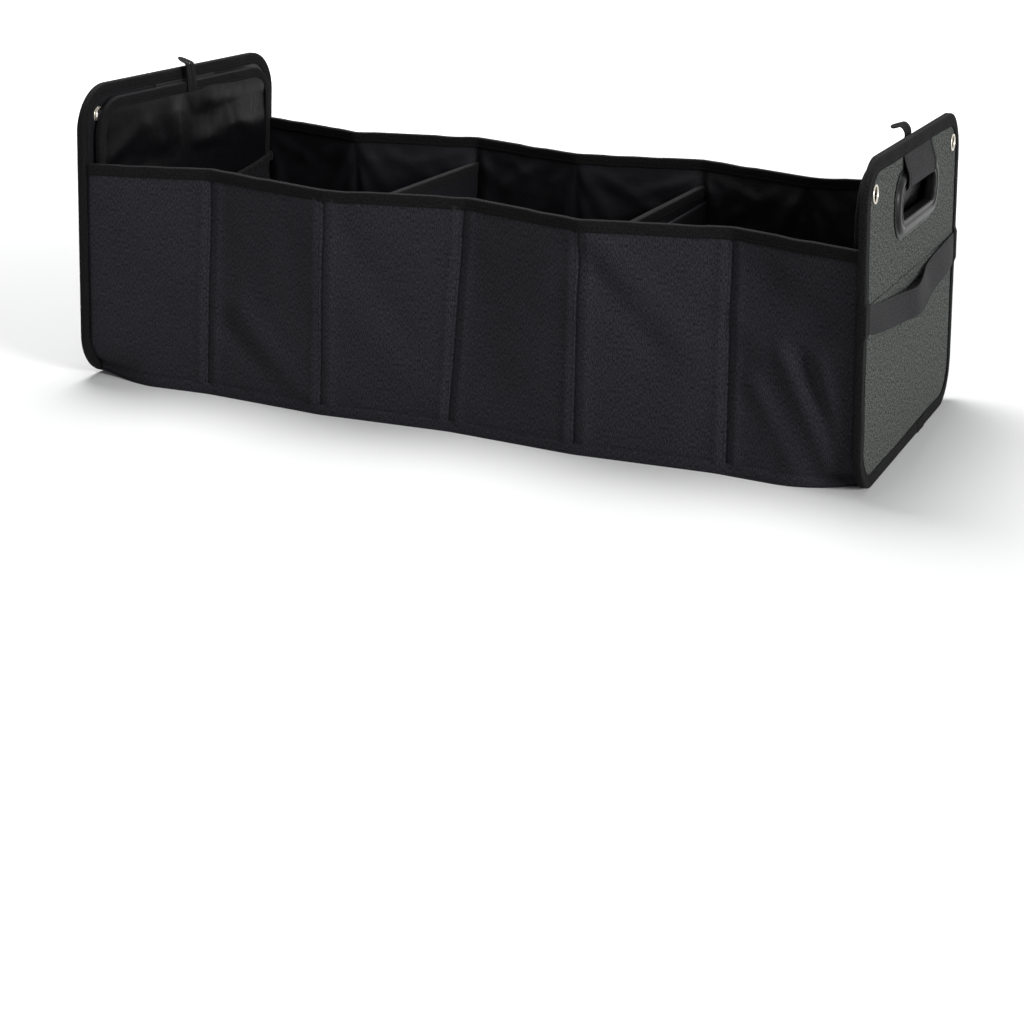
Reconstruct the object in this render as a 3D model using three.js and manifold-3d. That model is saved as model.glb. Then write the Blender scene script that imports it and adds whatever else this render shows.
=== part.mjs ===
// Car trunk organizer, standing open: two stiff end panels with moulded handles, joined by
// a front and a back wall of six stiffened sections that crease inwards, with two dividers,
// a fabric floor, and a loose base board held by a mesh pocket inside each end panel.
// Millimetres, +X to the right, +Y to the back, +Z up. The origin is on the ground, at the middle
// of the whole width, the closing strap's bulge included.
import * as THREE from 'three';
import { mergeVertices } from 'three/addons/utils/BufferGeometryUtils.js';
import Module from 'manifold-3d';

const wasm = await Module();
wasm.setup();

// Overall sizes
const length = 755;
const depth = 350;
const panelHeight = 275;
const panelCorner = 43;
const wallHeight = 205;
const leanRight = 16;
const leanLeft = 7;

// Cloth, board and tape
const gap = 0.3;
const tape = 1.0;
const heather = 0.9;
const panelBoard = 2.0;
const lining = 0.6;
const wallFabric = 0.8;
const wallBoard = 2.0;
const floorFabric = 1.2;
const panelBindingWidth = 11;
const wallBindingWidth = 10;

// End panel: its layers are stacked outwards from the middle of the board
const coverInner = panelBoard / 2 + gap;
const coverOuter = coverInner + heather;
const liningOuter = -panelBoard / 2 - gap;
const liningInner = liningOuter - lining;
const bindingOuter = coverOuter + gap + tape;
const bindingInner = liningInner - gap - tape;
const layerInset = tape + gap;
const seamHeight = 159;
const seamHem = 13;

// Handle: a moulded insert round the hand hole, and the cloth wrapped over the grip above it
const holeLength = 126;
const holeHeight = 26;
const holeCorner = 11;
const holeDrop = 52;
const barrelWall = 2;
const barrelDepth = 3.0;
const flangeReach = 16;
const flangeThickness = 1.0;
const flangeWidth = 3.2;
const ringSlope = 2.6;
const ringHeight = 4.5;
const wrapWidth = 106;
const wrapFabric = 0.8;

// Eyelets in the upper corners of the end panels
const eyeletInset = 28;
const eyeletRadius = 8;
const eyeletBore = 5.75;
const eyeletBarrel = 0.55;
const eyeletRim = 1.2;
const eyeletRoll = 0.8;
const washerThickness = 0.9;

// Closing strap on the right end
const strapWidth = 28;
const strapThickness = 1.4;
const strapCentre = 141;
const strapBulge = 15;
const strapRipple = 5;
const strapSag = 6;

// Base boards, their pull loops and the mesh pockets that hold them
const baseGap = 1.8;
const baseBoard = 2.7;
const baseSideRoom = 17;
const baseTopRoom = 13;
const baseCorner = 36;
const baseBindingWidth = 10;
const loopWidth = 8;
const loopThickness = 1.0;
const loopHeight = 30;
const loopStitched = 16;
const loopEye = 9;
const loopLean = { right: 13, left: 3 };
const meshThickness = 0.8;
const meshDrop = 47;
const meshSag = 16;
const meshBulge = 9;
const meshBindingWidth = 7;

// Walls: creases over the middle of each bay fold inwards, most at the top edge
const sections = 6;
const wallInset = 6;
const creaseTop = 37;
const creaseBottom = 9;
const creaseMargin = 3;
const cornerBlend = 70;
const cornerTuck = 18;
const hemHeight = 10;

// Dividers
const dividerDrop = 25;
const dividerThickness = 4;
const pocketFabric = 0.8;
const pocketDrop = 14;

// Places that follow from the sizes
const holeCentre = panelHeight - holeDrop;
const dividerHeight = wallHeight - dividerDrop;
const panelCentre = length / 2 - bindingOuter;
const wallEnd = panelCentre + bindingInner - gap;
const sectionLength = (2 * wallEnd) / sections;
const wallHalf = depth / 2 - wallInset;
const wallThickness = wallFabric + gap + wallBoard + gap + lining;
const floorTop = floorFabric + gap;
const insertFace = coverOuter + gap;
const hemFace = coverOuter + gap + heather + gap;
const baseOuter = bindingInner - baseGap;
const baseInner = baseOuter - 2 * (tape + gap) - baseBoard;
const baseTop = panelHeight - baseTopRoom;

// Steps in a quarter turn of a round corner
const cornerSteps = 6;

// Materials
const material = (color, roughness, metalness = 0) => (
  new THREE.MeshStandardMaterial({ color, roughness, metalness })
);
const heatherGrey = material('#4a4f50', 0.95);
const blackCanvas = material('#17171a', 0.9);
const blackTape = material('#1c1c1e', 0.85);
const blackNylon = material('#101013', 0.7);
const blackMesh = material('#141416', 0.9);
const boardGrey = material('#3a3a3c', 0.8);
const blackPlastic = material('#131314', 0.45);
const nickel = material('#cfcdc6', 0.25, 1);

// A sheet with two faces: each column and row gives one point on either face, and the rims
// close it. A closed sheet runs round a ring and has no end rims.
function sheetBody(columns, rows, place, closed = false) {
  const positions = [];
  const faces = [];
  const last = rows.length - 1;
  const end = columns.length - 1;
  const index = (c, r, side) => ((c % columns.length) * rows.length + r) * 2 + side;
  const quad = (a, b, c, d) => faces.push(a, b, c, a, c, d);
  for (const column of columns) {
    for (const row of rows) {
      positions.push(...place(column, row, 0), ...place(column, row, 1));
    }
  }
  for (let c = 0; c < (closed ? columns.length : end); c += 1) {
    for (let r = 0; r < last; r += 1) {
      quad(index(c, r, 0), index(c + 1, r, 0), index(c + 1, r + 1, 0), index(c, r + 1, 0));
      quad(index(c, r, 1), index(c, r + 1, 1), index(c + 1, r + 1, 1), index(c + 1, r, 1));
    }
    quad(index(c, 0, 0), index(c, 0, 1), index(c + 1, 0, 1), index(c + 1, 0, 0));
    quad(index(c, last, 0), index(c + 1, last, 0), index(c + 1, last, 1), index(c, last, 1));
  }
  for (let r = 0; r < last && !closed; r += 1) {
    quad(index(0, r, 0), index(0, r + 1, 0), index(0, r + 1, 1), index(0, r, 1));
    quad(index(end, r, 0), index(end, r, 1), index(end, r + 1, 1), index(end, r + 1, 0));
  }
  return facingOut(positions, faces);
}

// The faces are turned over where the body would come out inside out.
function facingOut(positions, faces) {
  const corner = (i) => new THREE.Vector3().fromArray(positions, faces[i] * 3);
  let volume = 0;
  for (let i = 0; i < faces.length; i += 3) {
    volume += corner(i).dot(corner(i + 1).cross(corner(i + 2)));
  }
  const geometry = new THREE.BufferGeometry();
  geometry.setAttribute('position', new THREE.Float32BufferAttribute(positions, 3));
  geometry.setIndex(volume > 0 ? faces : faces.reverse());
  geometry.computeVertexNormals();
  return geometry;
}

// Pairs of points along a path: one on it, and one a thickness to its left, mitred.
function thicken(path, thickness) {
  const left = (a, b) => new THREE.Vector2(a.y - b.y, b.x - a.x).normalize();
  return path.map((point, i) => {
    const before = left(path[Math.max(i - 1, 0)], path[Math.max(i, 1)]);
    const after = left(path[Math.min(i, path.length - 2)], path[Math.min(i + 1, path.length - 1)]);
    const middle = before.clone().add(after).normalize();
    const reach = thickness / middle.dot(after);
    return [point, point.clone().addScaledVector(middle, reach)];
  });
}

function toSolid(geometry) {
  const bare = geometry.clone();
  bare.deleteAttribute('normal');
  bare.deleteAttribute('uv');
  const merged = mergeVertices(bare, 1e-4);
  return new wasm.Manifold(new wasm.Mesh({
    numProp: 3,
    vertProperties: new Float32Array(merged.attributes.position.array),
    triVerts: new Uint32Array(merged.index.array),
  }));
}

function joined(first, second) {
  const mesh = toSolid(first).add(toSolid(second)).getMesh();
  const geometry = new THREE.BufferGeometry();
  geometry.setAttribute('position', new THREE.Float32BufferAttribute(mesh.vertProperties, 3));
  geometry.setIndex(Array.from(mesh.triVerts));
  geometry.computeVertexNormals();
  return geometry;
}

// Outline with round corners; a corner radius of 0 is square.
function roundedOutline(half, bottom, top, lowerCorner, upperCorner, Kind = THREE.Shape) {
  const outline = new Kind();
  outline.moveTo(-half + lowerCorner, bottom);
  outline.lineTo(half - lowerCorner, bottom);
  if (lowerCorner) outline.absarc(half - lowerCorner, bottom + lowerCorner, lowerCorner, -Math.PI / 2, 0);
  outline.lineTo(half, top - upperCorner);
  if (upperCorner) outline.absarc(half - upperCorner, top - upperCorner, upperCorner, 0, Math.PI / 2);
  outline.lineTo(-half + upperCorner, top);
  if (upperCorner) {
    outline.absarc(-half + upperCorner, top - upperCorner, upperCorner, Math.PI / 2, Math.PI);
  }
  outline.lineTo(-half, bottom + lowerCorner);
  if (lowerCorner) {
    outline.absarc(-half + lowerCorner, bottom + lowerCorner, lowerCorner, Math.PI, Math.PI * 1.5);
  }
  return outline;
}

function slab(outline, from, to) {
  const geometry = new THREE.ExtrudeGeometry(outline, {
    depth: to - from,
    bevelEnabled: false,
    curveSegments: cornerSteps / 2,
  });
  return geometry.translate(0, 0, from);
}

// Stations round a rectangle with round corners: a point on it and the direction outwards.
function ringStations(half, bottom, top, corner, steps = cornerSteps) {
  const centres = [
    [half - corner, bottom + corner],
    [half - corner, top - corner],
    [-half + corner, top - corner],
    [-half + corner, bottom + corner],
  ];
  return centres.flatMap(([x, y], quarter) => (
    Array.from({ length: steps + 1 }, (unused, step) => {
      const angle = (quarter - 1 + step / steps) * (Math.PI / 2);
      const out = new THREE.Vector2(Math.cos(angle), Math.sin(angle));
      return { point: new THREE.Vector2(x, y).addScaledVector(out, corner), out };
    })
  ));
}

// Tape folded over an edge: rows of [distance in from the edge, height through the stack].
function foldedTape(width, inner, outer) {
  return [
    [[width, outer], [width, outer - tape]],
    [[0.6, outer], [tape, outer - tape]],
    [[0, outer - 0.8], [tape, outer - tape]],
    [[0, inner + 0.8], [tape, inner + tape]],
    [[0.6, inner], [tape, inner + tape]],
    [[width, inner], [width, inner + tape]],
  ].filter((row, i) => i !== 2 && i !== 4);
}

function ringBinding(half, bottom, top, corner, width, inner, outer) {
  const stations = ringStations(half, bottom, top, corner);
  const rows = foldedTape(width, inner, outer);
  return sheetBody(stations, rows, ({ point, out }, row, side) => {
    const [inwards, height] = row[side];
    return [point.x - out.x * inwards, point.y - out.y * inwards, height];
  }, true);
}

// End panel pieces, drawn as seen from outside the end: x across, y up, z outwards
const across = depth / 2 - layerInset;
const layerCorner = panelCorner - layerInset;
const coverSplit = seamHeight - seamHem;

function handHole(grow) {
  const low = holeCentre - holeHeight / 2 - grow;
  const high = holeCentre + holeHeight / 2 + grow;
  return roundedOutline(holeLength / 2 + grow, low, high, holeCorner + grow, holeCorner + grow, THREE.Path);
}

function eyeletPlace(side) {
  return new THREE.Vector2(side * (depth / 2 - eyeletInset), panelHeight - eyeletInset);
}

function withHoles(outline) {
  outline.holes.push(handHole(barrelWall + gap));
  for (const side of [-1, 1]) {
    const { x, y } = eyeletPlace(side);
    const radius = eyeletBore + eyeletBarrel + gap;
    const hole = new THREE.Path().absarc(x, y, radius, 0, Math.PI);
    outline.holes.push(hole.absarc(x, y, radius, Math.PI, Math.PI * 2));
  }
  return outline;
}

function panelLayer(from, to) {
  const top = panelHeight - layerInset;
  return slab(withHoles(roundedOutline(across, layerInset, top, layerCorner, layerCorner)), from, to);
}

function coverUpper() {
  const top = panelHeight - layerInset;
  const outline = roundedOutline(across, coverSplit + gap, top, 0, layerCorner);
  return slab(withHoles(outline), coverInner, coverOuter);
}

// The lower cover ends in a folded hem that laps over the upper cover.
function coverLower() {
  const flat = slab(roundedOutline(across, layerInset, coverSplit, layerCorner, 0), coverInner, coverOuter);
  const hemHalf = depth / 2 - panelBindingWidth - gap;
  const hemInner = coverOuter + gap;
  const lap = sheetBody([-hemHalf, hemHalf], [
    [[coverSplit - heather, coverInner], [coverSplit, coverInner]],
    [[coverSplit - heather, hemInner + heather], [coverSplit, hemInner]],
    [[seamHeight, hemInner + heather], [seamHeight, hemInner]],
  ], (x, row, side) => [x, ...row[side]]);
  return joined(flat, lap);
}

// Moulded insert: a stitched flange, a raised ring, a groove and a lip round the hand hole,
// with a barrel through the panel. Rows pair the face with the underside behind it.
function handleInsert() {
  const face = insertFace;
  const crown = face + ringHeight;
  const flange = face + flangeThickness;
  const ringFoot = flangeReach - flangeWidth;
  const grooveEdge = barrelWall + 1.5;
  const rows = [
    [[flangeReach, flange], [flangeReach, face]],
    [[ringFoot, flange], [ringFoot, face]],
    [[ringFoot - ringSlope, crown - 0.8], [ringFoot - ringSlope, face]],
    [[ringFoot - 2 * ringSlope, crown], [ringFoot - 2 * ringSlope, face]],
    [[grooveEdge + ringSlope / 2, crown - 0.9], [grooveEdge + ringSlope / 2, face]],
    [[grooveEdge, crown - 1.7], [grooveEdge, face]],
    [[0.9, crown - 0.4], [barrelWall, face]],
    [[0, crown - 1.2], [barrelWall, 0]],
    [[0, -barrelDepth], [barrelWall, -barrelDepth]],
  ];
  const low = holeCentre - holeHeight / 2;
  const stations = ringStations(holeLength / 2, low, low + holeHeight, holeCorner, 5);
  return sheetBody(stations, rows, ({ point, out }, row, side) => {
    const [outwards, height] = row[side];
    return [point.x + out.x * outwards, point.y + out.y * outwards, height];
  }, true);
}

// Cloth from the top binding down over the insert, through the hole and up the inside.
function gripWrap() {
  const start = panelHeight - panelBindingWidth - gap;
  const holeTop = holeCentre + holeHeight / 2;
  const flangeEdge = holeTop + flangeReach;
  const crown = insertFace + ringHeight + gap;
  const back = -barrelDepth - gap;
  const outside = [
    [insertFace, start],
    [insertFace, flangeEdge + 1.2],
    [insertFace + flangeThickness + gap, flangeEdge + 0.2],
    [crown, flangeEdge - 5],
    [crown, holeTop + 1.4],
    [crown - 1.2, holeTop - gap],
    [back, holeTop - gap],
    [back, start],
  ];
  const rows = thicken(outside.map(([z, y]) => new THREE.Vector2(z, y)), wrapFabric);
  return sheetBody([-wrapWidth / 2, wrapWidth / 2], rows, (x, row, side) => (
    [x, row[side].y, row[side].x]
  ));
}

// Eyelet: a rounded rim outside and a barrel rolled over the washer inside the panel.
function eyelet() {
  const rimBase = coverOuter + gap;
  const washerFace = liningInner - gap - washerThickness;
  const barrel = eyeletBore + eyeletBarrel;
  const profile = [
    [eyeletBore, washerFace - gap - eyeletRoll],
    [barrel + eyeletRoll, washerFace - gap - eyeletRoll],
    [barrel + eyeletRoll, washerFace - gap],
    [barrel, washerFace - gap],
    [barrel, rimBase],
    [eyeletRadius, rimBase],
    [eyeletRadius - 0.4, rimBase + eyeletRim * 0.8],
    [eyeletRadius - 1.1, rimBase + eyeletRim],
    [eyeletBore, rimBase + eyeletRim * 0.3],
    [eyeletBore, washerFace - gap - eyeletRoll],
  ];
  return ringOf(profile);
}

function eyeletWasher() {
  const inner = eyeletBore + eyeletBarrel + gap;
  const face = liningInner - gap;
  return ringOf([
    [inner, face - washerThickness],
    [eyeletRadius - 0.4, face - washerThickness],
    [eyeletRadius, face],
    [inner, face],
    [inner, face - washerThickness],
  ]);
}

function ringOf(profile) {
  const turned = new THREE.LatheGeometry(profile.map(([r, z]) => new THREE.Vector2(r, z)), 16);
  return turned.rotateX(Math.PI / 2);
}

// A bump of height 1 round a place on the strap, fading to nothing at its reach.
function bump(t, centre, reach) {
  const d = Math.min(Math.abs(t - centre) / reach, 1);
  return Math.cos((d * Math.PI) / 2) ** 2;
}

// Webbing longer than the panel is wide, sewn at both edge bindings, so it stands off in
// ripples, most near the back.
function closingStrap() {
  const half = depth / 2 - panelBindingWidth - gap;
  const columns = Array.from({ length: 25 }, (unused, i) => i / 12 - 1);
  return sheetBody(columns, [-1, -0.35, 0.35, 1], (t, row, side) => {
    const slack = strapBulge * bump(t, 0.66, 0.3) + strapRipple * bump(t, -0.3, 0.45);
    const roll = 1 - 0.22 * row;
    const sag = strapSag * bump(t, 0.15, 0.85);
    const out = hemFace + slack * roll + (1 - side) * strapThickness;
    return [t * half, strapCentre + (row * strapWidth) / 2 - sag, out];
  });
}

// Base board, stood up against the inside of the end panel
const baseHalf = depth / 2 - baseSideRoom;

function baseBoardCore() {
  const inset = tape + gap;
  const corner = baseCorner - inset;
  const outline = roundedOutline(baseHalf - inset, floorTop + inset, baseTop - inset, corner, corner);
  return slab(outline, baseInner + inset, baseOuter - inset);
}

function baseBoardBinding() {
  return ringBinding(baseHalf, floorTop, baseTop, baseCorner, baseBindingWidth, baseInner, baseOuter);
}

// Narrow tape sewn to the inner face of the base board: up, round an open eye and down again.
function pullLoop(lean) {
  const boardSide = baseInner - gap - loopThickness;
  const roomSide = boardSide - gap;
  const foot = baseTop - loopStitched;
  const middle = (boardSide + roomSide) / 2;
  const above = (share, spread) => {
    const z = middle + spread * (loopEye / 2) - lean * share ** 2;
    return new THREE.Vector2(z, baseTop + share * (loopHeight - loopThickness));
  };
  const curve = new THREE.SplineCurve([
    new THREE.Vector2(boardSide, foot),
    new THREE.Vector2(boardSide, baseTop - 2),
    above(0.3, 0.45),
    above(0.68, 1),
    above(0.93, 0.75),
    above(1, 0),
    above(0.93, -0.75),
    above(0.68, -1),
    above(0.3, -0.45),
    new THREE.Vector2(roomSide, baseTop - 2),
    new THREE.Vector2(roomSide, foot),
  ]);
  const rows = thicken(curve.getPoints(26).reverse(), loopThickness);
  return sheetBody([-loopWidth / 2, loopWidth / 2], rows, (x, row, side) => (
    [x, row[side].y, row[side].x]
  ));
}

// Walls. The outer face lies at this distance from the middle of the floor.
function wallFace(x, z) {
  const place = (Math.abs(x) / sectionLength + sections / 2) % 2;
  const fold = 1 - Math.abs(place - 1);
  const crease = creaseBottom + (creaseTop - creaseBottom) * (z / wallHeight);
  const fromEnd = Math.max(wallEnd - Math.abs(x), 0);
  const blend = Math.cos((Math.min(fromEnd / cornerBlend, 1) * Math.PI) / 2) ** 2;
  const arc = panelCorner - wallInset;
  const below = Math.min(Math.max(panelCorner - z, 0), arc);
  const tuck = Math.min(arc - Math.sqrt(arc ** 2 - below ** 2), cornerTuck);
  return wallHalf - fold * crease - blend * tuck;
}

// Places along the wall: both sides of each crease, and more in the two end sections.
function wallColumns() {
  const columns = [-wallEnd];
  for (let i = 0; i < sections; i += 1) {
    const start = -wallEnd + i * sectionLength;
    columns.push(start + creaseMargin);
    if (i === 0) columns.push(start + sectionLength / 4);
    columns.push(start + sectionLength / 2);
    if (i === sections - 1) columns.push(start + sectionLength * 0.75);
    columns.push(start + sectionLength - creaseMargin);
    columns.push(start + sectionLength);
  }
  return columns;
}

const wallTop = wallHeight - tape - gap;
const wallTapeFoot = wallHeight - wallBindingWidth;
const boardRows = [hemHeight, panelCorner * 0.6, panelCorner, wallHeight * 0.55, wallTapeFoot, wallTop];
const wallRows = [floorTop, ...boardRows];
const stiffenerFrom = wallFabric + gap;
const liningFrom = stiffenerFrom + wallBoard + gap;

function wallLayer(side, columns, rows, from, to) {
  return sheetBody(columns, rows, (x, z, face) => (
    [x, side * (wallFace(x, z) - (face ? to : from)), z]
  ));
}

function stiffener(side, section) {
  const start = -wallEnd + section * sectionLength;
  const columns = wallColumns().filter((x) => (
    x > start + creaseMargin / 2 && x < start + sectionLength - creaseMargin / 2
  ));
  return wallLayer(side, columns, boardRows, stiffenerFrom, stiffenerFrom + wallBoard);
}

// Tape folded over an upright sheet: rows of [distance in from its face, height].
function edgeTape(foot, top, thickness) {
  const out = -gap - tape;
  const far = thickness + gap + tape;
  return [
    [[out, foot], [out + tape, foot]],
    [[out, top], [out + tape, top - tape]],
    [[far, top], [far - tape, top - tape]],
    [[far, foot], [far - tape, foot]],
  ];
}

function wallTopBinding(side) {
  const rows = edgeTape(wallTapeFoot, wallHeight, wallThickness);
  return sheetBody(wallColumns(), rows, (x, row, face) => {
    const [inwards, z] = row[face];
    return [x, side * (wallFace(x, z) - inwards), z];
  });
}

function wallHem(side) {
  return wallLayer(side, wallColumns(), [floorTop, hemHeight], -gap - tape, -gap);
}

function floorSheet() {
  return sheetBody(wallColumns(), [-1, 1], (x, side, face) => (
    [x, side * (wallFace(x, floorTop) + gap + tape), face ? 0 : floorFabric]
  ));
}

function wallInside(x, z) {
  return wallFace(x, z) - wallThickness;
}

// Dividers stand on the floor from wall to wall, at every second crease.
const dividerHalf = wallInside(sectionLength + dividerThickness / 2, wallHeight) - gap;

function dividerBoard() {
  const tall = dividerHeight - tape - gap - floorTop;
  const board = new THREE.BoxGeometry(dividerThickness, 2 * dividerHalf, tall);
  return board.translate(0, 0, floorTop + tall / 2);
}

function dividerBinding() {
  const rows = edgeTape(dividerHeight - wallBindingWidth, dividerHeight, dividerThickness);
  return sheetBody([-dividerHalf, dividerHalf], rows, (y, row, face) => (
    [dividerThickness / 2 - row[face][0], y, row[face][1]]
  ));
}

function dividerPocket() {
  const top = dividerHeight - pocketDrop;
  const tall = top - floorTop;
  const sheet = new THREE.BoxGeometry(pocketFabric, 2 * dividerHalf, tall);
  return sheet.translate(dividerThickness / 2 + gap + pocketFabric / 2, 0, floorTop + tall / 2);
}

// Mesh pocket across each end, in the end panel's own directions
const meshFace = baseInner - gap;
const meshColumns = Array.from({ length: 9 }, (unused, i) => i / 4 - 1);
const meshHalf = (z) => wallInside(panelCentre + meshFace - meshThickness, z) - 2 * gap;
const meshTop = (share) => wallHeight - meshDrop - meshSag * (1 - share ** 2);
const meshOut = (share, z) => (
  meshFace - meshBulge * (1 - share ** 2) * Math.max(z / (wallHeight - meshDrop), 0) ** 2
);

function meshSheet() {
  const heights = (share) => {
    const foot = meshTop(share) - meshBindingWidth;
    return [floorTop, hemHeight, panelCorner * 0.6, panelCorner, foot * 0.75, foot, meshTop(share) - tape - gap];
  };
  return sheetBody(meshColumns, [0, 1, 2, 3, 4, 5, 6], (share, row, face) => {
    const z = heights(share)[row];
    return [share * meshHalf(z), z, meshOut(share, z) - face * meshThickness];
  });
}

function meshBinding() {
  const rows = edgeTape(-meshBindingWidth, 0, meshThickness);
  return sheetBody(meshColumns, rows, (share, row, face) => {
    const z = meshTop(share) + row[face][1];
    const inwards = row[face][0] + gap + tape;
    return [share * meshHalf(z), z, meshOut(share, z) - inwards + gap + tape];
  });
}

// Assembly
const organizer = new THREE.Group();

function piece(parent, name, geometry, look) {
  const mesh = new THREE.Mesh(geometry, look);
  mesh.name = name;
  parent.add(mesh);
  return mesh;
}

function endPanel(end) {
  const direction = end === 'right' ? 1 : -1;
  const group = new THREE.Group();
  const outwards = new THREE.Vector3(direction, 0, 0);
  const up = new THREE.Vector3(0, 0, 1);
  const sideways = new THREE.Vector3(0, direction, 0);
  group.setRotationFromMatrix(new THREE.Matrix4().makeBasis(sideways, up, outwards));
  group.position.x = direction * panelCentre;
  const add = (name, geometry, look) => piece(group, `${end}_${name}`, geometry, look);
  add('panel_board', panelLayer(-panelBoard / 2, panelBoard / 2), boardGrey);
  add('panel_lining', panelLayer(liningInner, liningOuter), blackNylon);
  add('cover_upper', coverUpper(), heatherGrey);
  add('cover_lower', coverLower(), heatherGrey);
  const edge = ringBinding(depth / 2, 0, panelHeight, panelCorner, panelBindingWidth, bindingInner, bindingOuter);
  add('panel_binding', edge, blackTape);
  add('handle_insert', handleInsert(), blackPlastic);
  add('grip_wrap', gripWrap(), blackCanvas);
  for (const [place, side] of [['front', -direction], ['back', direction]]) {
    const { x, y } = eyeletPlace(side);
    add(`eyelet_${place}`, eyelet(), nickel).position.set(x, y, 0);
    add(`eyelet_washer_${place}`, eyeletWasher(), nickel).position.set(x, y, 0);
  }
  add('base_board', baseBoardCore(), blackNylon);
  add('base_board_binding', baseBoardBinding(), blackTape);
  add('pull_loop', pullLoop(loopLean[end]), blackTape);
  add('mesh_pocket', meshSheet(), blackMesh);
  add('mesh_pocket_binding', meshBinding(), blackTape);
  if (end === 'right') add('closing_strap', closingStrap(), blackTape);
  organizer.add(group);
}

function wall(name, side) {
  piece(organizer, `${name}_wall_fabric`, wallLayer(side, wallColumns(), wallRows, 0, wallFabric), blackCanvas);
  const inside = wallLayer(side, wallColumns(), wallRows, liningFrom, wallThickness);
  piece(organizer, `${name}_wall_lining`, inside, blackNylon);
  piece(organizer, `${name}_wall_binding`, wallTopBinding(side), blackTape);
  piece(organizer, `${name}_wall_hem`, wallHem(side), blackCanvas);
  for (let i = 0; i < sections; i += 1) {
    piece(organizer, `${name}_stiffener_${i + 1}`, stiffener(side, i), boardGrey);
  }
}

function divider(name, x, pocket) {
  const group = new THREE.Group();
  group.position.x = x;
  piece(group, `${name}_divider`, dividerBoard(), blackNylon);
  piece(group, `${name}_divider_binding`, dividerBinding(), blackTape);
  if (pocket) piece(group, `${name}_divider_pocket`, dividerPocket(), blackNylon);
  organizer.add(group);
}

endPanel('left');
endPanel('right');
wall('front', -1);
wall('back', 1);
piece(organizer, 'floor', floorSheet(), blackCanvas);
divider('left', -sectionLength, false);
divider('right', sectionLength, true);

// Each end panel leans in at the top, and what stands between them follows in proportion.
function leanIn(mesh) {
  const back = mesh.matrixWorld.clone().invert();
  const corners = mesh.geometry.attributes.position;
  const point = new THREE.Vector3();
  for (let i = 0; i < corners.count; i += 1) {
    point.fromBufferAttribute(corners, i).applyMatrix4(mesh.matrixWorld);
    const share = Math.min(Math.max(point.x / wallEnd, -1), 1);
    const reach = point.x > 0 ? leanRight : leanLeft;
    point.x -= share * reach * (point.z / panelHeight);
    point.applyMatrix4(back);
    corners.setXYZ(i, point.x, point.y, point.z);
  }
  mesh.geometry.computeVertexNormals();
}

organizer.updateMatrixWorld(true);
organizer.traverse((object) => {
  if (object.isMesh) leanIn(object);
});

const whole = new THREE.Box3().setFromObject(organizer, true);
organizer.position.x = -(whole.min.x + whole.max.x) / 2;

export default organizer;
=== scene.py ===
# Car trunk organizer standing open: stiff grey end panels with moulded handles, black canvas walls
# that crease inwards, two dividers, loose base boards behind mesh pockets, and a closing strap.
import math
import bpy
import numpy as np
from mathutils import Matrix, Vector, noise


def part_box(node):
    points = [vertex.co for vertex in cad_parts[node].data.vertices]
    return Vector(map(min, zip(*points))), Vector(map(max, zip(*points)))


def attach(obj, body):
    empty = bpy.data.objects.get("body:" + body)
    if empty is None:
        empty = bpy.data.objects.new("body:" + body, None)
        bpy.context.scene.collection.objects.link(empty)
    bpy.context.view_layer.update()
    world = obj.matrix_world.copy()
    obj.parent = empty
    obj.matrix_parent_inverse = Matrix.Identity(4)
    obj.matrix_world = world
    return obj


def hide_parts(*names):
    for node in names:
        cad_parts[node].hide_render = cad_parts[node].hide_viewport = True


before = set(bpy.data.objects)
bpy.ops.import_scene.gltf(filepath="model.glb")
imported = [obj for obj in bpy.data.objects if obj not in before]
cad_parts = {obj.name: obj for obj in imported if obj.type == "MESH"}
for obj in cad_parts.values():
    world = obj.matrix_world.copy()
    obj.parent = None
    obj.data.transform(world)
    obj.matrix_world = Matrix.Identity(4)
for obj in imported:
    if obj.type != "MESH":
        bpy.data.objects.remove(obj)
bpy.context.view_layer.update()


# CAMERA, LAMPS AND FLOOR
# A plain pale floor under soft light from large lamps and a grey sky, seen from the front, a
# little from the right and above.
floor_low, floor_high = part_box("floor")
middle = (floor_low[0] + floor_high[0]) / 2

# The camera as it was fitted to the photograph. Its focal length is in the photograph's pixels
yaw, pitch, roll = math.radians(-22.647), math.radians(19.523), math.radians(1.732)
camera_place = (0.7298 + middle, -1.7554, 0.5473)
focal_pixels, photo_pixels, sensor_mm = 2060.3, 1024, 36
ahead = Vector((math.sin(yaw) * math.cos(pitch), math.cos(yaw) * math.cos(pitch), -math.sin(pitch)))
level_right = Vector((math.cos(yaw), -math.sin(yaw), 0))
level_up = level_right.cross(ahead)
eye_right = math.cos(roll) * level_right + math.sin(roll) * level_up
eye_up = math.cos(roll) * level_up - math.sin(roll) * level_right
camera = bpy.data.objects.new("camera", bpy.data.cameras.new("camera"))
camera.data.sensor_width = sensor_mm
camera.data.lens = focal_pixels / photo_pixels * sensor_mm
camera.data.clip_end = 100
axes = Matrix((eye_right, eye_up, -ahead)).transposed()
camera.matrix_world = Matrix.Translation(camera_place) @ axes.to_4x4()
bpy.context.collection.objects.link(camera)
bpy.context.scene.camera = camera
bpy.context.scene.view_settings.view_transform = "Standard"

lamp_target = Vector((0, 0, 0.1))


def lamp(name, place, size, watts):
    """A large round lamp that points at the object."""
    light = bpy.data.lights.new(name, "AREA")
    light.shape = "DISK"
    light.size = size
    light.energy = watts
    thing = bpy.data.objects.new(name, light)
    thing.location = place
    thing.rotation_euler = (lamp_target - Vector(place)).to_track_quat("-Z", "Y").to_euler()
    bpy.context.collection.objects.link(thing)


lamp("back_left_lamp", (-0.75, 0.80, 2.95), 1.9, 96)
lamp("front_right_lamp", (4.6, -2.05, 1.75), 1.8, 236)
lamp("top_lamp", (0.1, -0.9, 3.0), 1.8, 13)


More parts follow.
